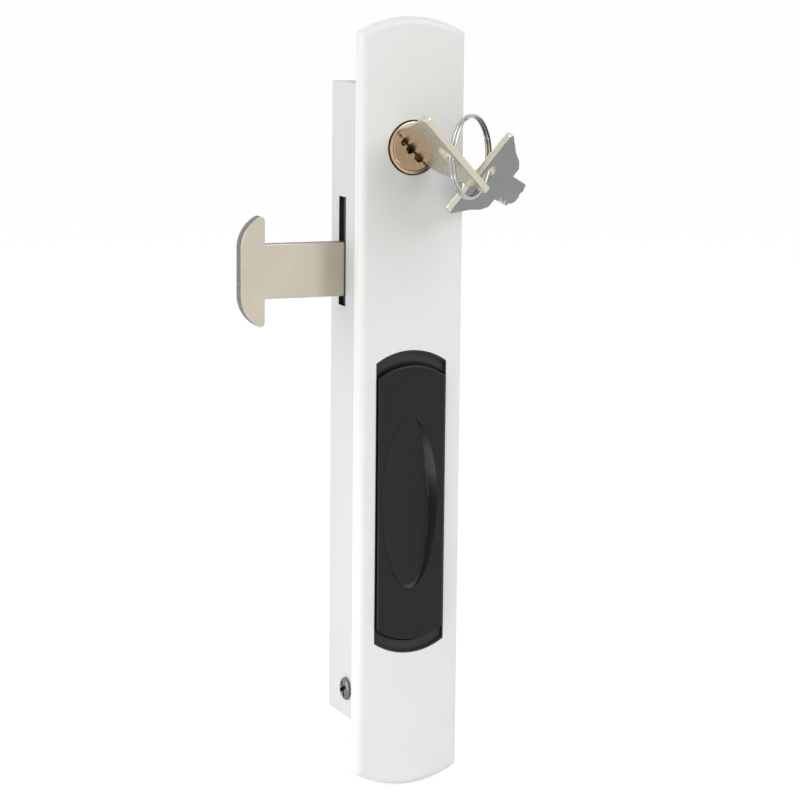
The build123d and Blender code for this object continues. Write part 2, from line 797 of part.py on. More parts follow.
def cylinder_body():
    """Cylinder housing with a flange behind the plate and a bore for the plug."""
    body = rod_y(0, cylinder_z, cylinder_radius, cylinder_front_y, cylinder_back_y)
    rim = body.faces().sort_by(Axis.Y)[0].edges()
    body = fillet(rim, cylinder_rim_round)
    half_height = cylinder_flange_half_height
    half_width = cylinder_flange_half_width
    flange = block(
        -half_width, half_width, 0, cylinder_flange_thickness,
        cylinder_z - half_height, cylinder_z + half_height,
    )
    corners = flange.edges().filter_by(Axis.Y)
    flange = fillet(corners, cylinder_flange_corner_round)
    body = body + flange
    bore = plug_radius + running_clearance
    body = body - rod_y(0, cylinder_z, bore, cylinder_front_y - cut_overrun, cylinder_back_y + cut_overrun)
    counterbore = plug_head_radius + running_clearance
    counterbore_floor = plug_neck_y + running_clearance
    body = body - rod_y(0, cylinder_z, counterbore, cylinder_front_y - cut_overrun, counterbore_floor)
    for side in (-1, 1):
        z = cylinder_z + side * cylinder_screw_offset
        hole = cylinder_screw_radius + running_clearance
        body = body - rod_y(0, z, hole, -cut_overrun, cylinder_flange_thickness + cut_overrun)
    return largest(body)


def cylinder_screws():
    """Two screws through the cylinder's flange into the back of the plate."""
    screws = []
    for side in (-1, 1):
        z = cylinder_z + side * cylinder_screw_offset
        top = cylinder_flange_thickness + cylinder_screw_head_height
        shank = rod_y(0, z, cylinder_screw_radius, -cylinder_screw_grip, cylinder_flange_thickness)
        head = rod_y(0, z, cylinder_screw_head_radius, cylinder_flange_thickness, top)
        recess = Pos(0, top, z) * Rot(90, 0, 0)
        recess = recess * cross_recess(cylinder_screw_head_radius, cylinder_screw_head_height)
        screws.append(largest(shank + head - recess))
    return Compound(children=screws)


def key_plane(y):
    """Plane across the plug's axis at depth y: drawn x runs along the keyway."""
    along = (math.cos(key_turn_rad), 0, math.sin(key_turn_rad))
    return Plane(origin=(0, y, cylinder_z), x_dir=along, z_dir=(0, 1, 0))


def plug_bar(length, width, y_low, y_high):
    """A bar along Y, whose longer cross-section side lies along the keyway."""
    return extrude(key_plane(y_low) * Rectangle(length, width), y_high - y_low)


def wafer_levels():
    """The front level of each wafer, counted back from the plug's head."""
    return [wafer_first_y + index * wafer_pitch for index in range(wafer_count)]


def cylinder_plug():
    """Turning plug with the keyway and a cross slot for each wafer."""
    plug = rod_y(0, cylinder_z, plug_radius, plug_neck_y, plug_back_y)
    plug = plug + rod_y(0, cylinder_z, plug_head_radius, plug_front_y, plug_neck_y)
    rim = plug.faces().sort_by(Axis.Y)[0].edges()
    plug = fillet(rim, plug_rim_round)
    way_length = 2 * (blade_half_width + small_clearance)
    way_width = key_thickness + 2 * small_clearance
    way_end = plate_front_y - bow_start + blade_length + small_clearance
    plug = plug - plug_bar(way_length, way_width, plug_front_y - cut_overrun, way_end)
    for level in wafer_levels():
        slot = plug_bar(
            wafer_height + 2 * running_clearance, wafer_width + 2 * running_clearance,
            level - running_clearance, level + wafer_thickness + running_clearance,
        )
        plug = plug - slot
    screw_floor = plug_back_y - cam_screw_depth
    thread = cam_screw_radius + running_clearance
    plug = plug - rod_y(0, cylinder_z, thread, screw_floor, plug_back_y + cut_overrun)
    return largest(plug)


def wafer_tumblers():
    """Flat wafers in the plug, each with a window round the key's blade."""
    wafers = []
    for level in wafer_levels():
        plate = plug_bar(wafer_height, wafer_width, level, level + wafer_thickness)
        window = plug_bar(
            2 * (blade_half_width + small_clearance), key_thickness + 2 * small_clearance,
            level - cut_overrun, level + cut_overrun,
        )
        wafers.append(largest(plate - window))
    return Compound(children=wafers)


def key_cam():
    """Flat cam behind the plug, whose arm stands over the carriage's tab when locked."""
    hub = Circle(cam_hub_radius)
    arm = Pos(cam_length / 2, 0) * Rectangle(cam_length, 2 * cam_half_width)
    outline = hub + arm
    outline = outline - Circle(cam_screw_radius + running_clearance)
    turned = Pos(0, cylinder_z) * Rot(0, 0, cam_rest_angle) * outline
    cam = slab(turned, cam_front_y, cam_back_y)
    tip_edges = cam.edges().filter_by(Axis.Y).sort_by(Axis.Z)[:2]
    return largest(fillet(tip_edges, cam_tip_round))


def cam_screw():
    """Screw that holds the cam to the plug."""
    tip = plug_back_y - cam_screw_depth + small_clearance
    top = cam_back_y + cam_screw_head_height
    screw = rod_y(0, cylinder_z, cam_screw_radius, tip, cam_back_y)
    screw = screw + rod_y(0, cylinder_z, cam_screw_head_radius, cam_back_y, top)
    recess = Pos(0, top, cylinder_z) * Rot(90, 0, 0)
    recess = recess * cross_recess(cam_screw_head_radius, cam_screw_head_height)
    return largest(screw - recess)


def bow_outline():
    """Half outline of the fan-shaped bow, from its narrow end to its wide end."""
    start = bow_start
    end = bow_start + bow_length
    side = [
        (start + bow_length * share, half)
        for share, half in zip(bow_place_shares, bow_half_widths)
    ]
    upper = side + [(end, bow_end_half_width)]
    lower = [(u, -v) for u, v in reversed(upper)]
    return polygon_face(upper + lower)


def key_blank():
    """A flat key along local X: bow towards +X, blade towards -X, thickness along local Z."""
    half = key_thickness / 2
    bow_face = bow_outline()
    bow = extrude(bow_face, half, both=True)
    corners = bow.edges().filter_by(Axis.Z).sort_by(Axis.X)[-4:]
    bow = fillet(corners, bow_corner_round)
    bow = bow - Pos(bow_hole_place, bow_hole_side, 0) * Cylinder(bow_hole_radius, 2 * key_thickness)
    tip = -blade_length + bow_start
    notch_points = [(bow_start, -blade_half_width), (bow_start, blade_half_width)]
    notch_points.append((tip + blade_tip_chamfer, blade_half_width))
    notch_points.append((tip, blade_half_width - blade_tip_chamfer))
    notch_points.append((tip, -blade_half_width + blade_tip_chamfer))
    pitch = wafer_pitch
    place = tip + blade_tip_chamfer
    notch_points.append((place, -blade_half_width + cut_depths[0]))
    for index in range(wafer_count):
        depth = cut_depths[index]
        notch_points.append((place + pitch * cut_flat_share, -blade_half_width + depth))
        place = place + pitch
        notch_points.append((place, -blade_half_width))
    blade = extrude(polygon_face(notch_points), half, both=True)
    groove_low = tip - cut_overrun
    groove_high = bow_start
    groove_length = groove_high - groove_low
    groove_x = (groove_low + groove_high) / 2
    for side in (-1, 1):
        groove = Box(groove_length, blade_groove_width, blade_groove_depth)
        z = side * (half - blade_groove_depth / 2)
        y = side * blade_groove_offset
        blade = blade - Pos(groove_x, y, z) * groove
    return largest(bow + blade)


def inserted_key_plane():
    """Local frame of the key in the plug: local X points out of the plate."""
    across = (math.cos(key_turn_rad), 0, math.sin(key_turn_rad))
    outwards = Vector(0, -1, 0)
    normal = outwards.cross(Vector(*across))
    return Plane(origin=(0, plate_front_y, cylinder_z), x_dir=outwards, z_dir=normal)


def operating_key():
    """The key in the plug."""
    return inserted_key_plane() * key_blank()


def bow_hole_point():
    """Where the ring's wire passes through the inserted key's hole."""
    place = Vector(bow_hole_place + ring_hang_out, bow_hole_side + ring_hang_side, 0)
    return inserted_key_plane().from_local_coords(place)


def ring_axes():
    """Directions of the ring's plane: away from the key, upwards, and its normal."""
    heading = math.radians(ring_heading)
    lean = math.radians(ring_lean)
    away = Vector(math.cos(heading), math.sin(heading), 0)
    side = away.cross(Vector(0, 0, 1))
    up = Vector(0, 0, 1) * math.cos(lean) - away * math.sin(lean)
    away = away * math.cos(lean) + Vector(0, 0, 1) * math.sin(lean)
    return away, up, side


def ring_centre():
    """Centre of the split ring, level with the key's hole."""
    away = ring_axes()[0]
    return bow_hole_point() + away * ring_mean_radius


def key_ring():
    """Split ring: two turns of round wire, joined where they cross over."""
    away, _, side = ring_axes()
    centre = ring_centre()
    offset = ring_wire_radius - ring_turn_gap
    turns = []
    for step in (-1, 1):
        origin = centre + side * (offset * step)
        plane = Plane(origin=origin, x_dir=away, z_dir=side)
        turns.append(plane * Torus(ring_mean_radius, ring_wire_radius))
    return largest(turns[0] + turns[1])


def spare_axes():
    """Directions of the spare key: across its bow and along it towards the blade."""
    heading = math.radians(spare_heading)
    dip = math.radians(spare_dip)
    roll = math.radians(spare_roll)
    along = Vector(math.cos(heading) * math.cos(dip), math.sin(heading) * math.cos(dip), math.sin(dip))
    level = along.cross(Vector(0, 0, 1)).normalized()
    upright = level.cross(along).normalized()
    across = upright * math.cos(roll) + level * math.sin(roll)
    return across, along


def spare_key_plane():
    """Local frame of the spare key, hung with its hole on the ring."""
    away, up, _ = ring_axes()
    turn = math.radians(spare_ring_angle)
    on_ring = ring_centre() + away * (ring_mean_radius * math.cos(turn))
    on_ring = on_ring + up * (ring_mean_radius * math.sin(turn))
    across, along = spare_axes()
    hole = on_ring - across * spare_hang + along * spare_side
    outwards = along * -1
    normal = outwards.cross(across)
    origin = hole - outwards * bow_hole_place - across * bow_hole_side
    return Plane(origin=origin, x_dir=outwards, z_dir=normal)


def spare_key():
    """The second key on the ring."""
    return spare_key_plane() * key_blank()


def build_parts():
    """Every node and its shape."""
    return {
        "face_plate": face_plate(),
        "upper_fixing_post": fixing_post(1, post_flange_radius),
        "lower_fixing_post": fixing_post(-1, lower_flange_radius),
        "lock_case": lock_case(),
        "case_side_screws": case_side_screws(),
        "slide_liner": slide_liner(),
        "thumb_slide": thumb_slide(),
        "slide_carrier": slide_carrier(),
        "slide_screws": slide_screws(),
        "slide_drive_pin": slide_drive_pin(),
        "transfer_lever": transfer_lever(),
        "lever_pivot_pin": lever_pivot_pin(),
        "lever_retaining_ring": lever_retaining_ring(),
        "t_bolt": t_bolt(),
        "bolt_carriage": bolt_carriage(),
        "bolt_rivets": bolt_rivets(),
        "carriage_drive_pin": carriage_drive_pin(),
        "guide_rail_left": guide_rail(-1),
        "guide_rail_right": guide_rail(1),
        "bolt_dust_shield": bolt_dust_shield(),
        "detent_ball": detent_ball(),
        "detent_spring": detent_spring(),
        "cylinder_body": cylinder_body(),
        "cylinder_screws": cylinder_screws(),
        "cylinder_plug": cylinder_plug(),
        "wafer_tumblers": wafer_tumblers(),
        "key_cam": key_cam(),
        "cam_screw": cam_screw(),
        "operating_key": operating_key(),
        "key_ring": key_ring(),
        "spare_key": spare_key(),
    }


os.makedirs("parts", exist_ok=True)
for node, shape in build_parts().items():
    export_step(shape, f"parts/{node}.step")
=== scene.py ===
"""Looks of the sliding patio door lock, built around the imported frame.

Everything is in metres in the frame of the CAD part: X runs across the face plate, Y runs into
the door, Z is up, and the origin is the centre of the plate's back.
"""

import logging
import math
from dataclasses import dataclass
from enum import Enum
from typing import Callable, Dict, List, Sequence, Tuple

import bpy
from mathutils import Matrix, Vector

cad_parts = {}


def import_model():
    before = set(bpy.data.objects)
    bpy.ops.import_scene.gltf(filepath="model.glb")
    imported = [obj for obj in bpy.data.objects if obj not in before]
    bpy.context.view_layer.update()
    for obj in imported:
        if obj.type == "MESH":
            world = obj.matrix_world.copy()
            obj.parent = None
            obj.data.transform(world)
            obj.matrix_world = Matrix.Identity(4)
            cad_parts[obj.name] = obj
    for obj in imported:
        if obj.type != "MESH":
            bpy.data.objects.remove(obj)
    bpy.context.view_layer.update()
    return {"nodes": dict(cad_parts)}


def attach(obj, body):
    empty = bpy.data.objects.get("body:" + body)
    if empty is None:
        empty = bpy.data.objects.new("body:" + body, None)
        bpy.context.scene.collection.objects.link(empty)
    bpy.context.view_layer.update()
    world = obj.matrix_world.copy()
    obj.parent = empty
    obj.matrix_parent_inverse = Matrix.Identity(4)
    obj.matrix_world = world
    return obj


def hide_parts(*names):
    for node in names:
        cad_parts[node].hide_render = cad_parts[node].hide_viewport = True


logging.basicConfig(level=logging.INFO, format="%(levelname)s %(message)s")
LOG = logging.getLogger("patio_door_lock")

Point2 = Tuple[float, float]
Point3 = Tuple[float, float, float]
Colour = Tuple[float, float, float]
Piece = bpy.types.Object
Socket = bpy.types.NodeSocket
FaceTest = Callable[[Vector, Vector], bool]

SAME_POINT = 1e-7
OVERLAP = 1e-5
OVERRUN = 0.002
SMOOTH_ANGLE = math.radians(32.0)
NOISE_RANGE = (0.3, 0.7)
CREASE_DEGREES = 50.0
SHARP_CREASE_DEGREES = 60.0
STEEP = 0.5
FINE_EDGE = 0.00008
ARCH_STEPS = 48
ROUND_STEPS = 96


class Direction(Enum):
    """Axes that a turned piece, a brush mark or a bar can lie along."""

    ACROSS = (1.0, 0.0, 0.0)
    INWARDS = (0.0, 1.0, 0.0)
    UPWARDS = (0.0, 0.0, 1.0)


class Body(Enum):
    """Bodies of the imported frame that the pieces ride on."""

    CASE = "case"
    SLIDE = "thumb_slide"
    BOLT = "bolt"
    PLUG = "plug"
    RING = "ring"
    SPARE = "spare_key"


class MetalLook(Enum):
    """How a metal's surface was finished."""

    BRUSHED = "brushed"
    TUMBLED = "tumbled"
    POLISHED = "polished"


# Modelling helpers


def deselect_all() -> None:
    """Leaves nothing selected and no piece in edit mode."""
    active = bpy.context.view_layer.objects.active
    if active is not None and active.mode != "OBJECT":
        bpy.ops.object.mode_set(mode="OBJECT")
    bpy.ops.object.select_all(action="DESELECT")


def select_only(piece: Piece) -> None:
    """Makes one piece the only selected and the active one.

    Args:
        piece: The piece to select.
    """
    deselect_all()
    piece.select_set(True)
    bpy.context.view_layer.objects.active = piece


def settle(piece: Piece) -> Piece:
    """Moves a piece's place, turn and scale into its mesh.

    Args:
        piece: The piece to settle.

    Returns:
        The same piece, at the origin.
    """
    select_only(piece)
    bpy.ops.object.transform_apply(location=True, rotation=True, scale=True)
    return piece


def moved_by(piece: Piece, place: Matrix) -> Piece:
    """Moves a piece from its drawing frame to its place in the lock and settles it."""
    piece.matrix_world = place
    return settle(piece)


def face_out(piece: Piece) -> Piece:
    """Turns every face of a closed piece outwards.

    Args:
        piece: The closed piece.

    Returns:
        The same piece.
    """
    select_only(piece)
    bpy.ops.object.mode_set(mode="EDIT")
    bpy.ops.mesh.select_all(action="SELECT")
    bpy.ops.mesh.remove_doubles(threshold=SAME_POINT)
    bpy.ops.mesh.normals_make_consistent(inside=False)
    bpy.ops.object.mode_set(mode="OBJECT")
    return piece


def ring_of(name: str, places: Sequence[Point3], fill: str = "NGON") -> Piece:
    """Adds a circle and moves its points to given places.

    Args:
        name: The piece's name.
        places: Corner points in order.
        fill: How the circle is filled.

    Returns:
        The flat piece.
    """
    deselect_all()
    bpy.ops.mesh.primitive_circle_add(vertices=len(places), radius=1.0, fill_type=fill)
    piece = bpy.context.object
    piece.name = name
    for vertex, place in zip(piece.data.vertices, places):
        vertex.co = place
    return piece


def prism(name: str, outline: Sequence[Point2], low: float, high: float) -> Piece:
    """Draws an outline in X and Z and extrudes it along Y.

    Args:
        name: The piece's name.
        outline: Corner points in order.
        low: Y of the drawn face.
        high: Y of the far face.

    Returns:
        The closed piece.
    """
    piece = ring_of(name, [(x, low, z) for x, z in outline])
    bpy.ops.object.mode_set(mode="EDIT")
    bpy.ops.mesh.select_all(action="SELECT")
    bpy.ops.mesh.extrude_region_move(TRANSFORM_OT_translate={"value": (0.0, high - low, 0.0)})
    bpy.ops.object.mode_set(mode="OBJECT")
    return face_out(piece)


def bar(name: str, low: Point3, high: Point3) -> Piece:
    """Adds a box between two corners.

    Args:
        name: The piece's name.
        low: The corner with the lowest values.
        high: The corner with the highest values.

    Returns:
        The settled box.
    """
    deselect_all()
    middle = [(a + b) / 2 for a, b in zip(low, high)]
    size = [b - a for a, b in zip(low, high)]
    bpy.ops.mesh.primitive_cube_add(size=1.0, location=middle, scale=size)
    piece = bpy.context.object
    piece.name = name
    return settle(piece)


def turned(
    name: str,
    profile: Sequence[Point2],
    start: Point3,
    axis: Direction = Direction.INWARDS,
    steps: int = 64,
) -> Piece:
    """Spins a closed profile round an axis, as on a lathe.

    Args:
        name: The piece's name.
        profile: Points of (radius, distance along the axis), in order.
        start: Where distance 0 of the profile lies on the axis.
        axis: The axis that the profile turns round.
        steps: How many steps make a full turn.

    Returns:
        The closed piece.
    """
    piece = ring_of(name, [(radius, along, 0.0) for radius, along in profile], "NOTHING")
    bpy.ops.object.mode_set(mode="EDIT")
    bpy.ops.mesh.select_all(action="SELECT")
    bpy.ops.mesh.spin(steps=steps, angle=math.tau, center=(0.0, 0.0, 0.0), axis=(0.0, 1.0, 0.0))
    bpy.ops.mesh.select_all(action="SELECT")
    bpy.ops.mesh.remove_doubles(threshold=SAME_POINT)
    bpy.ops.mesh.delete_loose(use_verts=True, use_edges=True, use_faces=False)
    bpy.ops.object.mode_set(mode="OBJECT")
    face_out(piece)
    turn = Vector((0.0, 1.0, 0.0)).rotation_difference(Vector(axis.value)).to_matrix().to_4x4()
    return moved_by(piece, Matrix.Translation(start) @ turn)


def rod(name: str, start: Point3, length: float, radius: float, axis: Direction, steps: int = 48) -> Piece:
    """A plain round bar, used as a cutter or a filler.

    Args:
        name: The piece's name.
        start: Centre of the bar's first end.
        length: Length along the axis.
        radius: The bar's radius.
        axis: The axis that it lies along.
        steps: How many sides the bar has.

    Returns:
        The closed bar.
    """
    profile = [(0.0, 0.0), (radius, 0.0), (radius, length), (0.0, length)]
    return turned(name, profile, start, axis, steps)


def drill(
    piece: Piece,
    start: Point3,
    end: float,
    radius: float,
    axis: Direction = Direction.INWARDS,
    steps: int = 48,
) -> Piece:
    """Cuts a round hole along an axis.

    Args:
        piece: The piece to drill.
        start: Where the hole begins, on its middle line.
        end: The coordinate on the axis where it ends.
        radius: The hole's radius.
        axis: The axis that it lies along.
        steps: How many sides the hole has.

    Returns:
        The same piece.
    """
    length = end - Vector(start).dot(Vector(axis.value))
    return cut(piece, rod("drill", start, length, radius, axis, steps))


def open_edges(piece: Piece) -> int:
    """Counts the edges that don't join exactly two faces.

    Args:
        piece: The piece to look at.

    Returns:
        The number of such edges, 0 for a closed piece.
    """
    shared: Dict[Tuple[int, int], int] = {}
    for face in piece.data.polygons:
        for key in face.edge_keys:
            shared[key] = shared.get(key, 0) + 1
    return sum(1 for count in shared.values() if count != 2)


def combine(piece: Piece, other: Piece, operation: str) -> Piece:
    """Applies one boolean and removes the second piece.

    Args:
        piece: The piece that stays.
        other: The piece that is used up.
        operation: Name of the boolean operation.

    Returns:
        The first piece.
    """
    select_only(piece)
    modifier = piece.modifiers.new("combine", "BOOLEAN")
    modifier.operation = operation
    modifier.solver = "EXACT"
    modifier.object = other
    bpy.ops.object.modifier_apply(modifier=modifier.name)
    mesh = other.data
    bpy.data.objects.remove(other)
    bpy.data.meshes.remove(mesh)
    return piece


def cut(piece: Piece, cutter: Piece) -> Piece:
    """Takes a cutter away from a piece and returns the piece."""
    return combine(piece, cutter, "DIFFERENCE")


def weld(piece: Piece, other: Piece) -> Piece:
    """Joins another closed piece to a piece and returns the piece."""
    return combine(piece, other, "UNION")


def behind(limit: float) -> FaceTest:
    """A test for an edge whose two ends both lie further in than a limit."""
    return lambda a, b: a.y > limit and b.y > limit


def round_edges(piece: Piece, chosen: FaceTest, width: float, segments: int) -> Piece:
    """Rounds the edges that a test picks by their two ends.

    Args:
        piece: The piece to shape.
        chosen: True for the ends of an edge that is rounded.
        width: How far the rounding reaches.
        segments: How many facets it has.

    Returns:
        The same piece.
    """
    select_only(piece)
    bpy.ops.object.mode_set(mode="EDIT")
    bpy.ops.mesh.select_mode(type="EDGE")
    bpy.ops.mesh.select_all(action="DESELECT")
    bpy.ops.object.mode_set(mode="OBJECT")
    places = [vertex.co.copy() for vertex in piece.data.vertices]
    for edge in piece.data.edges:
        edge.select = chosen(places[edge.vertices[0]], places[edge.vertices[1]])
    bpy.ops.object.mode_set(mode="EDIT")
    bpy.ops.mesh.bevel(offset=width, segments=segments, affect="EDGES", profile=0.5)
    bpy.ops.mesh.select_mode(type="VERT")
    bpy.ops.object.mode_set(mode="OBJECT")
    return piece


def soften(piece: Piece, width: float, segments: int = 2, angle: float = CREASE_DEGREES) -> Piece:
    """Takes the sharpness off every edge steeper than an angle.

    Args:
        piece: The piece to shape.
        width: Width of the softened edge.
        segments: How many facets it has.
        angle: Smallest angle between faces that counts, in degrees.

    Returns:
        The same piece.
    """
    select_only(piece)
    modifier = piece.modifiers.new("soft_edges", "BEVEL")
    modifier.width = width
    modifier.segments = segments
    modifier.limit_method = "ANGLE"
    modifier.angle_limit = math.radians(angle)
    bpy.ops.object.modifier_apply(modifier=modifier.name)
    return piece


def shade(piece: Piece) -> Piece:
    """Smooths the shading of a finished piece, with its flat faces kept flat.

    Args:
        piece: The finished piece.

    Returns:
        The same piece.
    """
    select_only(piece)
    bpy.ops.object.shade_smooth_by_angle(angle=SMOOTH_ANGLE)
    modifier = piece.modifiers.new("even_normals", "WEIGHTED_NORMAL")
    modifier.keep_sharp = True
    bpy.ops.object.modifier_apply(modifier=modifier.name)
    return piece


def arc(centre: Point2, radius: float, first: float, last: float, steps: int) -> List[Point2]:
    """Points along an arc, with both its ends.

    Args:
        centre: The arc's centre.
        radius: Its radius.
        first: Angle of its first point, in radians.
        last: Angle of its last point.
        steps: How many facets it has.

    Returns:
        Points in order.
    """
    angles = [first + (last - first) * step / steps for step in range(steps + 1)]
    return [(centre[0] + radius * math.cos(angle), centre[1] + radius * math.sin(angle)) for angle in angles]


def arched_outline(
    half_width: float, half_height: float, rise: float, centre_z: float, inset: float = 0.0
) -> List[Point2]:
    """Outline of an upright strip whose two ends are shallow arcs.

    Args:
        half_width: Half of the strip's width.
        half_height: Half of its height, measured in the middle.
        rise: How far the middle of each end stands past its corners.
        centre_z: Height of the strip's middle.
        inset: How far the whole outline is moved inwards.

    Returns:
        Points in order, (x, z).
    """
    arc_radius = (half_width**2 + rise**2) / (2 * rise)
    arc_centre = half_height - arc_radius
    radius = arc_radius - inset
    sweep = math.asin((half_width - inset) / radius)
    upper = arc((0.0, arc_centre), radius, math.pi / 2 - sweep, math.pi / 2 + sweep, ARCH_STEPS)
    lower = [(-x, -z) for x, z in upper]
    return [(x, centre_z + z) for x, z in upper + lower]


def layered(name: str, rings: Sequence[Sequence[Point3]]) -> Piece:
    """Extrudes an outline ring by ring, each ring with its own points.

    Args:
        name: The piece's name.
        rings: Outlines with the same number of points, from the front to the back.

    Returns:
        The closed piece.
    """
    last = [Vector(point) for point in rings[0]]
    piece = ring_of(name, last)
    for ring in rings[1:]:
        bpy.ops.object.mode_set(mode="EDIT")
        bpy.ops.mesh.extrude_region_move()
        bpy.ops.object.mode_set(mode="OBJECT")
        for vertex in piece.data.vertices:
            if vertex.select:
                nearest = min(range(len(last)), key=lambda index: (last[index] - vertex.co).length_squared)
                vertex.co = ring[nearest]
        last = [Vector(point) for point in ring]
    return face_out(piece)


def arched_block(
    name: str,
    strip: Tuple[float, float, float, float],
    front: float,
    back: float,
    edge: float,
    steps: int = 6,
) -> Piece:
    """A strip with arched ends and a rounded front edge.

    Args:
        name: The piece's name.
        strip: Half width, half height, end rise and middle height.
        front: Y of the front face.
        back: Y of the back face.
        edge: Radius of the front edge.
        steps: How many facets the rounding has.

    Returns:
        The closed piece.
    """
    rings = []
    for step in range(steps + 1):
        angle = math.pi / 2 * step / steps
        inset = edge * (1.0 - math.sin(angle))
        y = front + edge * (1.0 - math.cos(angle))
        rings.append([(x, y, z) for x, z in arched_outline(*strip, inset)])
    rings.append([(x, back, z) for x, z in arched_outline(*strip)])
    return layered(name, rings)


def smooth_outline(points: Sequence[Point2], radii: Sequence[float], steps: int = 8) -> List[Point2]:
    """Rounds each corner of a polygon with an arc.

    Args:
        points: Corner points in order.
        radii: Radius at each corner, 0 for a sharp one.
        steps: How many facets each arc has.

    Returns:
        The rounded outline.
    """
    rounded: List[Point2] = []
    count = len(points)
    for index in range(count):
        here = Vector(points[index])
        back = (Vector(points[index - 1]) - here).normalized()
        ahead = (Vector(points[(index + 1) % count]) - here).normalized()
        radius = radii[index]
        half = back.angle(ahead) / 2
        if radius <= 0.0:
            rounded.append((here.x, here.y))
            continue
        reach = radius / math.tan(half)
        centre = here + (back + ahead).normalized() * (radius / math.sin(half))
        first = here + back * reach - centre
        last = here + ahead * reach - centre
        sweep = first.angle_signed(last)
        for step in range(steps + 1):
            angle = -sweep * step / steps
            spot = centre + Matrix.Rotation(angle, 2) @ first
            rounded.append((spot.x, spot.y))
    return rounded


# Finishes


def linear(red: float, green: float, blue: float) -> Colour:
    """A colour as it is seen on a screen, 0 to 255, as the shader's linear values.

    Args:
        red: Red, 0 to 255.
        green: Green, 0 to 255.
        blue: Blue, 0 to 255.

    Returns:
        The linear values, 0 to 1.
    """
    values = []
    for value in (red, green, blue):
        share = value / 255.0
        values.append(share / 12.92 if share <= 0.04045 else ((share + 0.055) / 1.055) ** 2.4)
    return values[0], values[1], values[2]


def seen_directly(tree: bpy.types.NodeTree) -> Socket:
    """Adds nodes that tell the camera's and the reflections' rays from all the others.

    Args:
        tree: The node tree of a material or of the world.

    Returns:
        A value socket, 1 for such a ray and 0 for another.
    """
    path = tree.nodes.new("ShaderNodeLightPath")
    seen = tree.nodes.new("ShaderNodeMath")
    seen.operation = "MAXIMUM"
    tree.links.new(path.outputs["Is Camera Ray"], seen.inputs[0])
    tree.links.new(path.outputs["Is Glossy Ray"], seen.inputs[1])
    return seen.outputs[0]


class ShaderSheet:
    """A new material with its principled shader, and short ways to add nodes to it."""

    def __init__(self, name: str) -> None:
        """Starts an empty material.

        Args:
            name: The material's name.
        """
        self.material = bpy.data.materials.new(name)
        self.material.use_nodes = True
        self.tree = self.material.node_tree
        self.shader = self.tree.nodes["Principled BSDF"]
        self.place = self.add("ShaderNodeTexCoord")

    def add(self, kind: str, **settings: object) -> bpy.types.Node:
        """Adds a node and sets its plain properties.

        Args:
            kind: The node's type.
            settings: Its properties by name.

        Returns:
            The node.
        """
        node = self.tree.nodes.new(kind)
        for key, value in settings.items():
            setattr(node, key, value)
        return node

    def join(self, source: Socket, target: Socket) -> None:
        """Links one socket to another."""
        self.tree.links.new(source, target)

    def stretched(self, scale: Point3) -> Socket:
        """Object coordinates, scaled.

        Args:
            scale: Scale along each axis.

        Returns:
            The vector socket.
        """
        mapping = self.add("ShaderNodeMapping")
        mapping.inputs["Scale"].default_value = scale
        self.join(self.place.outputs["Object"], mapping.inputs["Vector"])
        return mapping.outputs["Vector"]

    def noise(self, scale: float, detail: float, where: Socket) -> Socket:
        """A noise pattern's value.

        Args:
            scale: Pattern repeats per metre.
            detail: How many finer layers it has.
            where: The coordinates it reads.

        Returns:
            The value socket.
        """
        texture = self.add("ShaderNodeTexNoise")
        texture.inputs["Scale"].default_value = scale
        texture.inputs["Detail"].default_value = detail
        texture.inputs["Roughness"].default_value = 0.6
        self.join(where, texture.inputs["Vector"])
        return texture.outputs["Fac"]

    def ramp(self, value: Socket, stops: Sequence[Tuple[float, Colour]]) -> Socket:
        """Turns a value into a colour.

        Args:
            value: The value socket.
            stops: Places from 0 to 1 with their colours.

        Returns:
            The colour socket.
        """
        node = self.add("ShaderNodeValToRGB")
        elements = node.color_ramp.elements
        while len(elements) < len(stops):
            elements.new(1.0)
        for element, (place, colour) in zip(elements, stops):
            element.position = place
            element.color = (*colour, 1.0)
        self.join(value, node.inputs["Fac"])
        return node.outputs["Color"]

    def mottled(self, value: Socket, colour: Colour, share: float) -> None:
        """Gives the shader a colour that a pattern makes lighter and darker by a share.

        Args:
            value: The pattern's value.
            colour: The colour in the middle.
            share: How far it goes either way.
        """
        low, high = NOISE_RANGE
        stops = [(low, shifted(colour, -share)), (high, shifted(colour, share))]
        self.join(self.ramp(value, stops), self.shader.inputs["Base Color"])

    def roughened(self, value: Socket, low: float, high: float) -> None:
        """Gives the shader a roughness that follows a pattern between two values.

        Args:
            value: The pattern's value.
            low: Roughness at its low end.
            high: Roughness at its high end.
        """
        node = self.add("ShaderNodeMapRange")
        node.inputs["From Min"].default_value, node.inputs["From Max"].default_value = NOISE_RANGE
        node.inputs["To Min"].default_value = low
        node.inputs["To Max"].default_value = high
        self.join(value, node.inputs["Value"])
        self.join(node.outputs["Result"], self.shader.inputs["Roughness"])

    def relief(self, height: Socket, strength: float, distance: float) -> None:
        """Adds a bump, on top of any bump that the shader has already.

        Args:
            height: The pattern's value.
            strength: Strength of the bump.
            distance: Its depth in metres.
        """
        bump = self.add("ShaderNodeBump")
        bump.inputs["Strength"].default_value = strength
        bump.inputs["Distance"].default_value = distance
        self.join(height, bump.inputs["Height"])
        before = self.shader.inputs["Normal"].links
        if before:
            self.join(before[0].from_socket, bump.inputs["Normal"])
        self.join(bump.outputs["Normal"], self.shader.inputs["Normal"])


def shifted(colour: Colour, share: float) -> Colour:
    """A colour made lighter or darker by a share."""
    return tuple(min(1.0, value * (1.0 + share)) for value in colour)


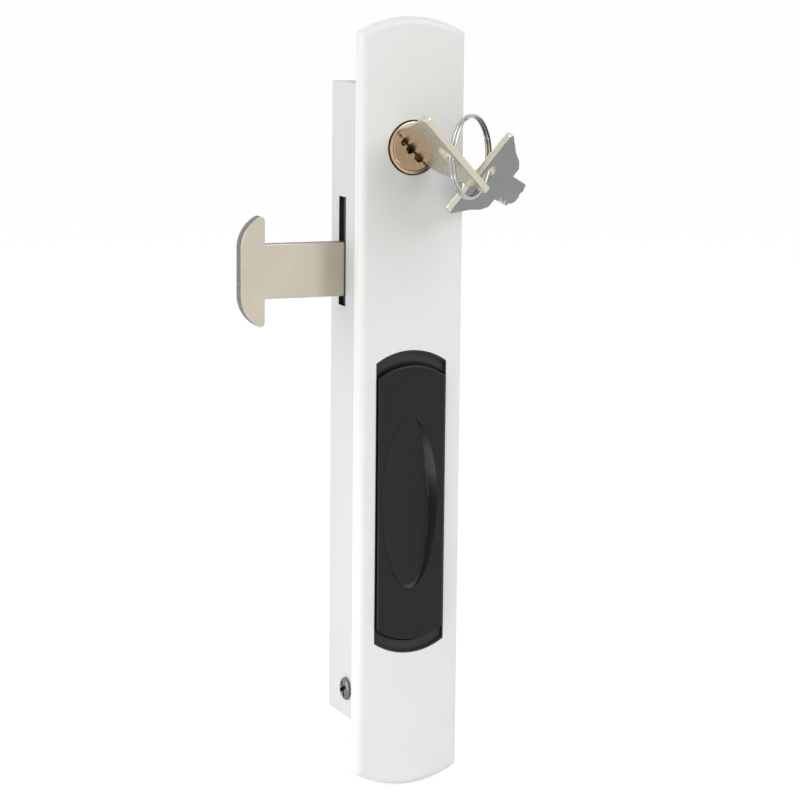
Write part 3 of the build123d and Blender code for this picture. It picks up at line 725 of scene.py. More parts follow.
@dataclass(frozen=True)
class CoatFinish:
    """A surface without metal in it: faint clouds, uneven gloss and a fine relief."""

    name: str
    colour: Colour
    roughness: float
    gloss: float
    smoother: float
    rougher: float
    cloud_scale: float
    cloud_detail: float
    cloud_share: float
    wear_scale: float
    wear_detail: float
    grain_scale: float
    grain_depth: float = 0.00002
    grain_strength: float = 0.35

    def build(self) -> bpy.types.Material:
        """Makes the material.

        Returns:
            The finished material.
        """
        sheet = ShaderSheet(self.name)
        where = sheet.place.outputs["Object"]
        clouds = sheet.noise(self.cloud_scale, self.cloud_detail, where)
        sheet.mottled(clouds, self.colour, self.cloud_share)
        worn = sheet.noise(self.wear_scale, self.wear_detail, where)
        sheet.roughened(worn, self.roughness - self.smoother, self.roughness + self.rougher)
        sheet.relief(sheet.noise(self.grain_scale, 2.0, where), self.grain_strength, self.grain_depth)
        sheet.shader.inputs["Specular IOR Level"].default_value = self.gloss
        return sheet.material


@dataclass(frozen=True)
class PaintFinish(CoatFinish):
    """Satin powder coat, with the faint orange peel that such a coat has."""

    roughness: float = 0.36
    gloss: float = 0.4
    smoother: float = 0.03
    rougher: float = 0.05
    cloud_scale: float = 38.0
    cloud_detail: float = 2.0
    cloud_share: float = 0.018
    wear_scale: float = 1980.0
    wear_detail: float = 3.0
    grain_scale: float = 900.0


@dataclass(frozen=True)
class MouldedFinish(CoatFinish):
    """Fine matt moulded plastic with a spark-eroded grain."""

    roughness: float = 0.42
    gloss: float = 0.30
    smoother: float = 0.05
    rougher: float = 0.06
    cloud_scale: float = 60.0
    cloud_detail: float = 3.0
    cloud_share: float = 0.10
    wear_scale: float = 170.0
    wear_detail: float = 4.0
    grain_scale: float = 4200.0


@dataclass(frozen=True)
class MetalFinish:
    """Plated or plain metal."""

    name: str
    colour: Colour
    look: MetalLook
    roughness: float
    brush_along: Direction = Direction.UPWARDS
    brush_scale: float = 2600.0
    brush_stretch: float = 0.02
    brush_detail: float = 3.0
    marks_detail: float = 4.0
    rough_shares: Point2 = (0.85, 1.2)
    mark_strength: float = 0.18
    mark_depth: float = 0.00001
    tone_share: float = 0.05
    tone_scale: float = 90.0

    def build(self) -> bpy.types.Material:
        """Makes the material.

        Returns:
            The finished material.
        """
        sheet = ShaderSheet(self.name)
        where = sheet.place.outputs["Object"]
        tone = sheet.noise(self.tone_scale, self.brush_detail, where)
        sheet.mottled(tone, self.colour, self.tone_share)
        sheet.shader.inputs["Metallic"].default_value = 1.0
        if self.look is MetalLook.BRUSHED:
            scale = tuple(self.brush_stretch if value else 1.0 for value in self.brush_along.value)
            marks = sheet.noise(self.brush_scale, self.brush_detail, sheet.stretched(scale))
        else:
            marks = sheet.noise(self.brush_scale, self.marks_detail, where)
        smooth, rough = self.rough_shares
        sheet.roughened(marks, self.roughness * smooth, self.roughness * rough)
        if self.look is not MetalLook.POLISHED:
            sheet.relief(marks, self.mark_strength, self.mark_depth)
        return sheet.material


class FinishRack:
    """Every finish of the lock, made once."""

    FINISHES: Sequence[object] = (
        PaintFinish("plate_powder_coat", linear(233, 235, 232)),
        PaintFinish("case_powder_coat", linear(213, 214, 214), 0.40, wear_scale=2420.0, grain_scale=1100.0),
        MouldedFinish("liner_moulding", linear(40, 44, 46), roughness=0.50, gloss=0.36),
        MouldedFinish("shield_moulding", linear(94, 97, 98), roughness=0.60, gloss=0.36),
        MouldedFinish("slide_moulding", linear(13, 14, 16), roughness=0.36),
        MetalFinish("satin_nickel", linear(199, 191, 175), MetalLook.BRUSHED, 0.30, Direction.ACROSS),
        MetalFinish(
            "sheared_edge",
            linear(128, 124, 116),
            MetalLook.TUMBLED,
            0.46,
            mark_depth=0.00006,
            tone_share=0.3,
            tone_scale=900.0,
        ),
        MetalFinish("key_nickel", linear(208, 202, 184), MetalLook.TUMBLED, 0.26, brush_scale=1500.0),
        # The spare key's flat faces: the keys' nickel darkened as painted shade, with a bluish painted
        # reflection.
        MetalFinish("spare_key_nickel_painted_shade", linear(93, 97, 98), MetalLook.TUMBLED, 0.28, brush_scale=1500.0),
        # Dark grey painted shade for the cut faces of the bolt's slot, standing in for the shade inside it.
        MetalFinish("slot_edge_painted_shade", linear(62, 64, 64), MetalLook.TUMBLED, 0.60),
        # Screw steel darkened as painted shade for the faces inside the cross recesses.
        MetalFinish("recess_painted_shade", linear(72, 71, 68), MetalLook.TUMBLED, 0.55),
        MetalFinish("cylinder_nickel", linear(196, 172, 147), MetalLook.POLISHED, 0.24),
        MetalFinish("keyway_shadow", linear(58, 46, 34), MetalLook.TUMBLED, 0.55),
        MetalFinish("ring_nickel", linear(182, 182, 178), MetalLook.POLISHED, 0.16),
        MetalFinish("zinc_plate", linear(190, 190, 184), MetalLook.TUMBLED, 0.38, tone_share=0.10),
        MetalFinish(
            "screw_steel", linear(122, 121, 116), MetalLook.TUMBLED, 0.34, tone_share=0.12, tone_scale=700.0
        ),
        MetalFinish("pin_steel", linear(186, 186, 186), MetalLook.BRUSHED, 0.24, Direction.ACROSS),
        MetalFinish("wafer_brass", linear(214, 178, 104), MetalLook.BRUSHED, 0.30),
    )

    def __init__(self) -> None:
        """Builds all the materials."""
        self.materials: Dict[str, bpy.types.Material] = {
            finish.name: finish.build() for finish in self.FINISHES
        }

    def dress(self, piece: Piece, name: str) -> None:
        """Gives a piece one finish.

        Args:
            piece: The piece to dress.
            name: The finish's name.
        """
        piece.data.materials.clear()
        piece.data.materials.append(self.materials[name])

    def present(self, piece: Piece, finish: str, body: Body, node: str) -> None:
        """Shades and dresses a finished piece, and lets it stand for a CAD node on a body.

        Args:
            piece: The finished piece.
            finish: The finish's name.
            body: The body that it rides on.
            node: The CAD node that it replaces.
        """
        self.dress(shade(piece), finish)
        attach(piece, body.value)
        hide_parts(node)
        LOG.info("%s: %d faces, %d open edges", piece.name, len(piece.data.polygons), open_edges(piece))

    def dress_faces(self, piece: Piece, name: str, chosen: FaceTest) -> None:
        """Gives some faces of a dressed piece another finish.

        Args:
            piece: The dressed piece.
            name: The finish's name.
            chosen: True for a face's centre and normal where the face is picked.
        """
        piece.data.materials.append(self.materials[name])
        index = len(piece.data.materials) - 1
        for face in piece.data.polygons:
            if chosen(face.center, face.normal):
                face.material_index = index


# Sub-assemblies


@dataclass
class FacePlate:
    """Cast face plate with arched ends, a rounded front edge and two lugs behind it."""

    half_width: float = 0.01575
    half_height: float = 0.110
    end_rise: float = 0.0044
    front_y: float = -0.0045
    edge_round: float = 0.0021
    opening_half_width: float = 0.0107
    opening_half_height: float = 0.0438
    opening_rise: float = 0.0034
    opening_z: float = -0.0268
    cylinder_z: float = 0.0739
    cylinder_hole: float = 0.00775
    screw_offset: float = 0.0098
    screw_hole: float = 0.0013
    screw_depth: float = 0.0027
    post_z: float = 0.0997
    socket_radius: float = 0.00305
    socket_depth: float = 0.0025
    lug_half_width: float = 0.0126
    upper_lug: Tuple[float, float, float] = (0.0864, 0.0900, 0.009)
    lower_lug: Tuple[float, float, float] = (-0.0885, -0.0775, 0.0135)
    lug_screw: Tuple[float, float] = (0.0078, -0.083)
    lug_hole: float = 0.0018
    hole_edge: float = 0.00025
    edge_facets: int = 8
    hole_facets: int = 72

    def plate(self) -> Piece:
        """The plate itself, with its opening and holes.

        Returns:
            The plate without its lugs.
        """
        strip = (self.half_width, self.half_height, self.end_rise, 0.0)
        edge, facets = self.edge_round, self.edge_facets
        piece = arched_block("face_plate_casting", strip, self.front_y, 0.0, edge, facets)
        opening = arched_outline(
            self.opening_half_width, self.opening_half_height, self.opening_rise, self.opening_z
        )
        start = self.front_y - OVERRUN
        cut(piece, prism("opening_cutter", opening, start, OVERRUN))
        place = (0.0, start, self.cylinder_z)
        return drill(piece, place, OVERRUN, self.cylinder_hole, steps=self.hole_facets)

    def lugs(self, piece: Piece) -> None:
        """Adds the two lugs and drills them and the plate's back.

        Args:
            piece: The plate.
        """
        half = self.lug_half_width
        for low, high, depth in (self.upper_lug, self.lower_lug):
            lug = bar("lug", (-half, -OVERLAP, low), (half, depth, high))
            soften(lug, self.hole_edge * 2)
            weld(piece, lug)
        y, z = self.lug_screw
        reach = half + OVERRUN
        drill(piece, (-reach, y, z), reach, self.lug_hole, Direction.ACROSS)
        for side in (-1, 1):
            drill(piece, (0.0, -self.socket_depth, side * self.post_z), OVERRUN, self.socket_radius)
            screw_z = self.cylinder_z + side * self.screw_offset
            drill(piece, (0.0, -self.screw_depth, screw_z), OVERRUN, self.screw_hole)

    def build(self, rack: FinishRack) -> None:
        """Builds, dresses and hands over the plate.

        Args:
            rack: The finishes.
        """
        piece = self.plate()
        self.lugs(piece)
        soften(piece, self.hole_edge)
        rack.present(piece, "plate_powder_coat", Body.CASE, "face_plate")


@dataclass
class FixingPosts:
    """Turned posts behind the plate's two ends, with threaded bores."""

    height: float = 0.0997
    length: float = 0.018
    stem: float = 0.004
    upper_flange: float = 0.008
    lower_flange: float = 0.005
    flange_thickness: float = 0.003
    spigot: float = 0.003
    spigot_length: float = 0.0024
    thread: float = 0.0021
    thread_depth: float = 0.014
    thread_pitch: float = 0.0007
    edge: float = 0.0003

    def profile(self, flange: float) -> List[Point2]:
        """Half section of one post, from its spigot to its bored rear end.

        Args:
            flange: Radius of the post's flange.

        Returns:
            Points of (radius, distance along the post).
        """
        rear = self.length
        front = rear - self.flange_thickness
        edge = self.edge
        points = [
            (0.0, -self.spigot_length),
            (self.spigot - edge, -self.spigot_length),
            (self.spigot, -self.spigot_length + edge),
            (self.spigot, 0.0),
            (self.stem, 0.0),
            (self.stem, front - edge),
            (self.stem + edge, front),
            (flange - edge, front),
            (flange, front + edge),
            (flange, rear - edge),
            (flange - edge, rear),
            (self.thread + edge, rear),
            (self.thread, rear - edge),
        ]
        floor = rear - self.thread_depth
        turns = int((self.thread_depth - 2 * edge) / self.thread_pitch)
        for turn in range(turns):
            crest = rear - edge - self.thread_pitch * (turn + 0.5)
            points.append((self.thread - edge, crest))
            points.append((self.thread, crest - self.thread_pitch / 2))
        points.append((self.thread * 0.5, floor))
        points.append((0.0, floor))
        return points

    def build(self, rack: FinishRack) -> None:
        """Builds both posts.

        Args:
            rack: The finishes.
        """
        for name, side, flange in (("upper", 1, self.upper_flange), ("lower", -1, self.lower_flange)):
            piece = turned(f"{name}_post", self.profile(flange), (0.0, 0.0, side * self.height))
            rack.present(piece, "zinc_plate", Body.CASE, f"{name}_fixing_post")


@dataclass
class LockCase:
    """Folded sheet tray behind the plate, with the bolt's slot and its two side screws."""

    half_width: float = 0.014
    half_height: float = 0.0915
    depth: float = 0.0235
    wall: float = 0.0012
    corner_round: float = 0.002
    slot_y: Tuple[float, float] = (0.0109, 0.0161)
    slot_z: Tuple[float, float] = (0.0281, 0.0591)
    screw_y: float = 0.0078
    screw_z: float = -0.083
    screw_hole: float = 0.00185
    detent_z: Tuple[float, float] = (0.0387, 0.0486)
    detent_hole: float = 0.001
    pivot: Tuple[float, float] = (0.0092, 0.020)
    pivot_hole: float = 0.0018
    head_radius: float = 0.0033
    head_height: float = 0.0013
    shank_radius: float = 0.00175
    shank_length: float = 0.0079
    recess_depth: float = 0.0011
    cross_reach: float = 0.70
    cross_half: float = 0.17
    head_profile: Tuple[Point2, ...] = ((1.0, 0.45), (0.93, 0.75), (0.78, 0.95), (0.6, 1.0), (0.0, 1.0))
    recess_rim: float = 0.94
    twist_degrees: float = 24.0
    shank_tip: Point2 = (0.6, 0.4)
    head_edge: float = 0.000072
    edge: float = 0.00018
    corner_facets: int = 6
    inner_facets: int = 4

    def tray(self) -> Piece:
        """The tray with its slot and holes.

        Returns:
            The tray.
        """
        half, top, rear = self.half_width, self.half_height, self.depth
        piece = bar("lock_case_tray", (-half, 0.0, -top), (half, rear, top))
        round_edges(piece, behind(rear - SAME_POINT), self.corner_round, self.corner_facets)
        inner_half, inner_top, inner_rear = half - self.wall, top - self.wall, rear - self.wall
        hollow = bar("tray_hollow", (-inner_half, -OVERRUN, -inner_top), (inner_half, inner_rear, inner_top))
        round_edges(hollow, behind(inner_rear - SAME_POINT), self.corner_round - self.wall, self.inner_facets)
        cut(piece, hollow)
        slot_low = (-half - OVERRUN, self.slot_y[0], self.slot_z[0])
        slot_high = (-inner_half + OVERRUN, self.slot_y[1], self.slot_z[1])
        cut(piece, bar("slot_cutter", slot_low, slot_high))
        reach = half + OVERRUN
        drill(piece, (-reach, self.screw_y, self.screw_z), reach, self.screw_hole, Direction.ACROSS)
        start, end = inner_rear - OVERRUN, rear + OVERRUN
        for z in self.detent_z:
            drill(piece, (0.0, start, z), end, self.detent_hole)
        x, z = self.pivot
        return drill(piece, (x, start, z), end, self.pivot_hole)

    def side_screw(self, side: int) -> Piece:
        """One pan-head screw with a cross recess.

        Args:
            side: -1 for the left screw, 1 for the right one.

        Returns:
            The screw in its place.
        """
        head, high, shank = self.head_radius, self.head_height, self.shank_radius
        blunt, slope = self.shank_tip
        profile = [
            (0.0, -self.shank_length),
            (shank * blunt, -self.shank_length),
            (shank, -self.shank_length + shank * slope),
            (shank, 0.0),
            (head - self.edge, 0.0),
            (head, self.edge),
        ]
        profile += [(head * out, high * up) for out, up in self.head_profile]
        name = "side_screw_left" if side < 0 else "side_screw_right"
        piece = turned(name, profile, (0.0, 0.0, 0.0), Direction.ACROSS)
        bit_length, bit_width = head * self.cross_reach, head * self.cross_half
        for length, width in ((bit_length, bit_width), (bit_width, bit_length)):
            low = high - self.recess_depth
            bit = bar("cross_bit", (low, -length, -width), (high + OVERRUN, length, width))
            cut(piece, bit)
        soften(piece, self.head_edge, 1, SHARP_CREASE_DEGREES)
        turn = Matrix.Rotation(math.pi if side < 0 else 0.0, 4, "Z")
        twist = Matrix.Rotation(math.radians(self.twist_degrees), 4, "X")
        place = Matrix.Translation((side * self.half_width, self.screw_y, self.screw_z))
        return moved_by(piece, place @ turn @ twist)

    def on_slot_edge(self, centre: Vector, normal: Vector) -> bool:
        """Picks the cut faces of the bolt's slot, which are dressed dark as painted shade.

        Args:
            centre: The face's centre.
            normal: The face's normal.

        Returns:
            True for a face of the slot.
        """
        (front, rear), (low, high), edge = self.slot_y, self.slot_z, self.edge
        inside = low - edge < centre.z < high + edge and front - edge < centre.y < rear + edge
        return inside and centre.x < -self.half_width + self.wall and abs(normal.x) < STEEP

    def in_recess(self, centre: Vector, normal: Vector) -> bool:
        """Picks the faces inside a side screw's cross recess, which get a darker finish as painted shade.

        Args:
            centre: The face's centre.
            normal: The face's normal.

        Returns:
            True for a face of the recess.
        """
        reach = math.hypot(centre.y - self.screw_y, centre.z - self.screw_z)
        out = abs(centre.x) - self.half_width
        floor, rim = self.head_height - self.recess_depth, self.head_height * self.recess_rim
        inside = floor - self.edge < out < rim and reach < self.head_radius * self.cross_reach
        return inside and (abs(normal.x) < STEEP or out < floor + self.edge)

    def build(self, rack: FinishRack) -> None:
        """Builds the tray and its screws.

        Args:
            rack: The finishes.
        """
        tray = self.tray()
        soften(tray, self.edge)
        rack.present(tray, "case_powder_coat", Body.CASE, "lock_case")
        # The slot's cut faces get a dark finish: painted shade inside the slot, not a colour of the steel.
        rack.dress_faces(tray, "slot_edge_painted_shade", self.on_slot_edge)
        for side in (-1, 1):
            screw = self.side_screw(side)
            rack.present(screw, "screw_steel", Body.CASE, "case_side_screws")
            # The cross recess gets a darker finish: painted shade in the recess.
            rack.dress_faces(screw, "recess_painted_shade", self.in_recess)


@dataclass
class SlideUnit:
    """Black liner in the plate's opening, and the thumb slide with its finger dish."""

    opening_half_width: float = 0.01065
    opening_half_height: float = 0.04375
    rise: float = 0.0034
    centre_z: float = -0.0268
    plate_front: float = -0.0045
    liner_front: float = -0.0034
    liner_back: float = -0.0020
    liner_rim: float = 0.00005
    wall: float = 0.00045
    side_wall: float = 0.00025
    window: Tuple[float, float, float] = (0.01025, -0.0533, 0.0032)
    boss_offset: float = 0.031
    boss_slot_half: float = 0.0031
    boss_radius: float = 0.0026
    boss_sink: float = 0.0003
    boss_floor: float = 0.00035
    travel: float = 0.0035
    slide_half_width: float = 0.0102
    slide_half_length: float = 0.0397
    slide_front: float = -0.0057
    cap_back: float = -0.0037
    slide_edge: float = 0.0007
    dish_x: float = -0.0006
    dish_half_width: float = 0.0085
    dish_half_length: float = 0.0246
    dish_wall: float = 0.0009
    carrier_front: float = 0.0013
    shell_back: float = 0.0012
    screw_hole: float = 0.00125
    dish_depth: float = 0.0030
    dish_end_power: float = 0.9
    dish_slope_power: float = 0.6
    wall_slope_low: float = 1.9
    wall_slope_high: float = 1.15
    wall_slope_change: float = 0.4
    rim_step: float = 0.0004
    rim_share: float = 0.05
    track_back: float = -0.0026
    track_margin: float = 0.0007
    dish_facets: Tuple[int, int] = (160, 96)
    boss_facets: int = 48
    wall_facets: int = 4

    def liner(self) -> Piece:
        """Thin frame in the opening, with a floor past each end of the slide.

        Returns:
            The liner.
        """
        outer = arched_outline(self.opening_half_width, self.opening_half_height, self.rise, self.centre_z)
        piece = prism("slide_liner_frame", outer, self.plate_front + self.liner_rim, self.liner_back)
        inner = arched_outline(
            self.opening_half_width - self.side_wall,
            self.opening_half_height - self.wall,
            self.rise,
            self.centre_z,
        )
        cut(piece, prism("pocket_cutter", inner, self.plate_front - OVERRUN, self.liner_front))
        track = arched_outline(
            self.slide_half_width, self.slide_half_length + self.track_margin, self.rise, self.centre_z
        )
        cut(piece, prism("track_cutter", track, self.liner_front - OVERRUN, self.track_back))
        half, low, high = self.window
        cut(piece, bar("window_cutter", (-half, self.plate_front, low), (half, OVERRUN, high)))
        for side in (-1, 1):
            z = self.centre_z + side * self.boss_offset
            reach = self.boss_slot_half
            corner_low = (-reach, self.plate_front, z - reach)
            corner_high = (reach, OVERRUN, z + reach + self.travel)
            cut(piece, bar("boss_cutter", corner_low, corner_high))
        return piece

    def dish_depth_at(self, across: float, along: float) -> float:
        """Depth of the finger dish below the slide's face.

        Args:
            across: Place across the dish, -1 at its left rim and 1 at its right rim.
            along: Place along the dish, -1 at its lower end and 1 at its upper end.

        Returns:
            The depth in metres.
        """
        chord = math.sqrt(max(SAME_POINT, 1.0 - along * along))
        share = min(1.0, max(0.0, (across + chord) / (2.0 * chord)))
        deepest = self.dish_depth * (chord * chord) ** self.dish_end_power
        slope = math.sin(math.pi / 2 * share) ** self.dish_slope_power
        change = min(1.0, max(0.0, along / self.wall_slope_change))
        wall_slope = self.wall_slope_low + (self.wall_slope_high - self.wall_slope_low) * change
        wall = (1.0 - share) * 2.0 * chord * self.dish_half_width * wall_slope
        rim = min(1.0, (1.0 - math.hypot(across, along)) / self.rim_share)
        step = self.rim_step * math.sin(math.pi / 2 * max(0.0, rim))
        floor = step + deepest * (1.0 - self.rim_step / self.dish_depth) * slope
        return min(floor, wall)

    def dish_cutter(self) -> Piece:
        """Closed tool in the shape of the dish.

        Returns:
            The tool, in front of the dish's floor.
        """
        deselect_all()
        around, along = self.dish_facets
        bpy.ops.mesh.primitive_uv_sphere_add(segments=around, ring_count=along, radius=1.0)
        piece = bpy.context.object
        piece.name = "dish_cutter"
        for vertex in piece.data.vertices:
            across, side, along = vertex.co
            if side > OVERLAP:
                depth = self.dish_depth_at(across, along)
            else:
                depth = side * OVERRUN
            vertex.co = (
                self.dish_x + across * self.dish_half_width,
                self.slide_front + depth,
                self.centre_z + along * self.dish_half_length,
            )
        return piece

    def slide(self) -> Piece:
        """The thumb slide: arched cap, solid behind the dish, and screw bosses.

        Returns:
            The slide.
        """
        strip = (self.slide_half_width, self.slide_half_length, self.rise, self.centre_z)
        piece = arched_block("thumb_slide_moulding", strip, self.slide_front, self.cap_back, self.slide_edge)
        weld(piece, self.shell())
        length = self.carrier_front - self.cap_back + self.boss_sink
        profile = [
            (0.0, 0.0),
            (self.boss_radius, 0.0),
            (self.boss_radius, length),
            (self.screw_hole, length),
            (self.screw_hole, self.boss_floor),
            (0.0, self.boss_floor),
        ]
        for side in (-1, 1):
            place = (0.0, self.cap_back - self.boss_sink, self.centre_z + side * self.boss_offset)
            weld(piece, turned("boss", profile, place, steps=self.boss_facets))
        return cut(piece, self.dish_cutter())

    def shell(self) -> Piece:
        """Solid behind the dish, which gives it a wall.

        Returns:
            The solid, before the dish is cut.
        """
        half_x = self.dish_half_width + self.dish_wall
        half_z = self.dish_half_length + self.dish_wall
        circle = arc((0.0, 0.0), 1.0, 0.0, math.tau, ROUND_STEPS)[:-1]
        outline = [(self.dish_x + half_x * x, self.centre_z + half_z * z) for x, z in circle]
        piece = prism("dish_shell", outline, self.cap_back - self.boss_sink, self.shell_back)
        return round_edges(piece, behind(self.shell_back - SAME_POINT), self.dish_wall, self.wall_facets)

    def build(self, rack: FinishRack) -> None:
        """Builds the liner and the slide.

        Args:
            rack: The finishes.
        """
        liner = soften(self.liner(), FINE_EDGE, 1)
        rack.present(liner, "liner_moulding", Body.CASE, "slide_liner")
        rack.present(self.slide(), "slide_moulding", Body.SLIDE, "thumb_slide")


@dataclass
class SlidingBolt:
    """Flat T-bolt with a rounded head."""

    front_y: float = 0.0115
    back_y: float = 0.0155
    inner_x: float = 0.008
    head_inner_x: float = -0.0381
    head_outer_x: float = -0.0452
    centre_z: float = 0.0387
    shank_half: float = 0.0077
    head_half: float = 0.0156
    shoulder_radius: float = 0.010
    crown_round: float = 0.0013
    neck_round: float = 0.0005
    rivet_x: float = 0.0056
    rivet_hole: float = 0.00165
    edge: float = 0.0002
    edge_facets: int = 3
    neck_facets: int = 6
    crown_facets: int = 8
    shoulder_facets: int = 20
    rim_share: float = 0.9
    side_slope: float = 0.2

    def upper_half(self) -> List[Point2]:
        """Outline above the bolt's middle, from the shank's end to the head's outer side.

        Returns:
            Points in order, (x, z), with the bolt's middle at z = 0.
        """
        big, small, neck = self.shoulder_radius, self.crown_round, self.neck_round
        crown_x = self.head_inner_x - small
        centre_x = self.head_outer_x + big
        reach = math.acos((crown_x - centre_x) / big)
        centre_z = self.head_half - big * math.sin(reach)
        points = [(self.inner_x, self.shank_half)]
        neck_centre = (self.head_inner_x + neck, self.shank_half + neck)
        points += arc(neck_centre, neck, -math.pi / 2, -math.pi, self.neck_facets)
        points += arc((crown_x, self.head_half - small), small, 0.0, math.pi / 2, self.crown_facets)
        points += arc((centre_x, centre_z), big, reach, math.pi, self.shoulder_facets)[1:]
        return points

    def outline(self) -> List[Point2]:
        """Outline of the bolt, seen from the front.

        Returns:
            Points in order, (x, z).
        """
        upper = self.upper_half()
        lower = [(x, -z) for x, z in reversed(upper)]
        return [(x, self.centre_z + z) for x, z in upper + lower]

    def build(self, rack: FinishRack) -> None:
        """Builds the bolt.

        Args:
            rack: The finishes.
        """
        piece = prism("t_bolt_blade", self.outline(), self.front_y, self.back_y)
        front, back = self.front_y + SAME_POINT, self.back_y - SAME_POINT

        def on_rim(a: Vector, b: Vector) -> bool:
            """True for an edge of the front or the back face."""
            return (a.y < front and b.y < front) or (a.y > back and b.y > back)

        round_edges(piece, on_rim, self.edge, self.edge_facets)
        for side in (-1, 1):
            start = (side * self.rivet_x, self.front_y - OVERRUN, self.centre_z)
            drill(piece, start, self.back_y + OVERRUN, self.rivet_hole)
        rack.present(piece, "satin_nickel", Body.BOLT, "t_bolt")
        rim, slope = self.edge * self.rim_share, self.side_slope
        front, back = self.front_y + rim, self.back_y - rim
        rack.dress_faces(piece, "sheared_edge", lambda at, out: front < at.y < back and abs(out.y) < slope)


@dataclass
class Cylinder:
    """Lock cylinder: its housing, and the plug with its keyway."""

    centre_z: float = 0.0739
    radius: float = 0.0074
    front_y: float = -0.0053
    back_y: float = 0.015
    rim_round: float = 0.0004
    rim_middle: float = 0.3
    flange_half: Point2 = (0.0084, 0.0122)
    flange_round: float = 0.0042
    flange_thickness: float = 0.0025
    screw_offset: float = 0.0098
    screw_hole: float = 0.0013
    bore: float = 0.00605
    counterbore: float = 0.00655
    counterbore_floor: float = -0.00435
    plug_front: float = -0.0054
    plug_neck: float = -0.0044
    plug_back: float = 0.0182
    plug_radius: float = 0.006
    plug_head: float = 0.0065
    plug_round: float = 0.0003
    keyway_degrees: float = -47.0
    way_half_length: float = 0.0043
    way_half_width: float = 0.001
    way_end: float = 0.0128
    way_shares: Tuple[Point2, ...] = (
        ((-1.0, -1.0), (-1.0, 1.0), (1.0, 1.0), (1.0, -1.0), (0.90, -2.1))
        + ((0.46, -2.1), (0.34, -1.2), (0.16, -1.2), (0.04, -2.5), (-0.34, -2.5))
        + ((-0.46, -1.3), (-0.56, -1.3), (-0.66, -2.3), (-0.94, -2.3))
    )
    cam_screw_radius: float = 0.00155
    cam_screw_floor: float = 0.0136

    def housing(self) -> Piece:
        """The housing with its flange, bore and screw holes.

        Returns:
            The housing.
        """
        radius, edge = self.radius, self.rim_round
        profile = [
            (self.counterbore, self.front_y),
            (radius - edge, self.front_y),
            (radius - edge * self.rim_middle, self.front_y + edge * self.rim_middle),
            (radius, self.front_y + edge),
            (radius, self.back_y),
            (self.bore, self.back_y),
            (self.bore, self.counterbore_floor),
            (self.counterbore, self.counterbore_floor),
        ]
        piece = turned("cylinder_housing", profile, (0.0, 0.0, self.centre_z), steps=ROUND_STEPS)
        half_x, half_z = self.flange_half
        corners = [(-half_x, -half_z), (-half_x, half_z), (half_x, half_z), (half_x, -half_z)]
        outline = [(x, z + self.centre_z) for x, z in smooth_outline(corners, [self.flange_round] * 4)]
        flange = prism("flange", outline, 0.0, self.flange_thickness)
        end = self.flange_thickness + OVERRUN
        drill(flange, (0.0, -OVERRUN, self.centre_z), end, (self.bore + radius) / 2, steps=ROUND_STEPS)
        for side in (-1, 1):
            drill(flange, (0.0, -OVERRUN, self.centre_z + side * self.screw_offset), end, self.screw_hole)
        return weld(piece, flange)

    def plug(self) -> Piece:
        """The plug with its keyway, warded on the side that shows beside the key.

        Returns:
            The plug.
        """
        head, edge = self.plug_head, self.plug_round
        profile = [
            (0.0, self.plug_front),
            (head - edge, self.plug_front),
            (head, self.plug_front + edge),
            (head, self.plug_neck),
            (self.plug_radius, self.plug_neck),
            (self.plug_radius, self.plug_back),
            (self.cam_screw_radius, self.plug_back),
            (self.cam_screw_radius, self.cam_screw_floor),
            (0.0, self.cam_screw_floor),
        ]
        piece = turned("cylinder_plug_core", profile, (0.0, 0.0, self.centre_z), steps=ROUND_STEPS)
        length, width = self.way_half_length, self.way_half_width
        way = [(length * along, width * across) for along, across in self.way_shares]
        turn = Matrix.Rotation(-math.radians(self.keyway_degrees), 4, "Y")
        cutter = prism("keyway_cutter", way, self.plug_front - OVERRUN, self.way_end)
        moved_by(cutter, Matrix.Translation((0.0, 0.0, self.centre_z)) @ turn)
        return cut(piece, cutter)

    def in_keyway(self, centre: Vector, normal: Vector) -> bool:
        """Picks the faces of the keyway's walls.

        Args:
            centre: The face's centre.
            normal: The face's normal.

        Returns:
            True for a face of the keyway.
        """
        reach = math.hypot(centre.x, centre.z - self.centre_z)
        deep = self.plug_front + SAME_POINT < centre.y < self.way_end + SAME_POINT
        return deep and reach < self.way_half_length + SAME_POINT and abs(normal.y) < STEEP

    def build(self, rack: FinishRack) -> None:
        """Builds the housing and the plug.

        Args:
            rack: The finishes.
        """
        rack.present(self.housing(), "cylinder_nickel", Body.CASE, "cylinder_body")
        plug = soften(self.plug(), FINE_EDGE, 1)
        rack.present(plug, "cylinder_nickel", Body.PLUG, "cylinder_plug")
        rack.dress_faces(plug, "keyway_shadow", self.in_keyway)


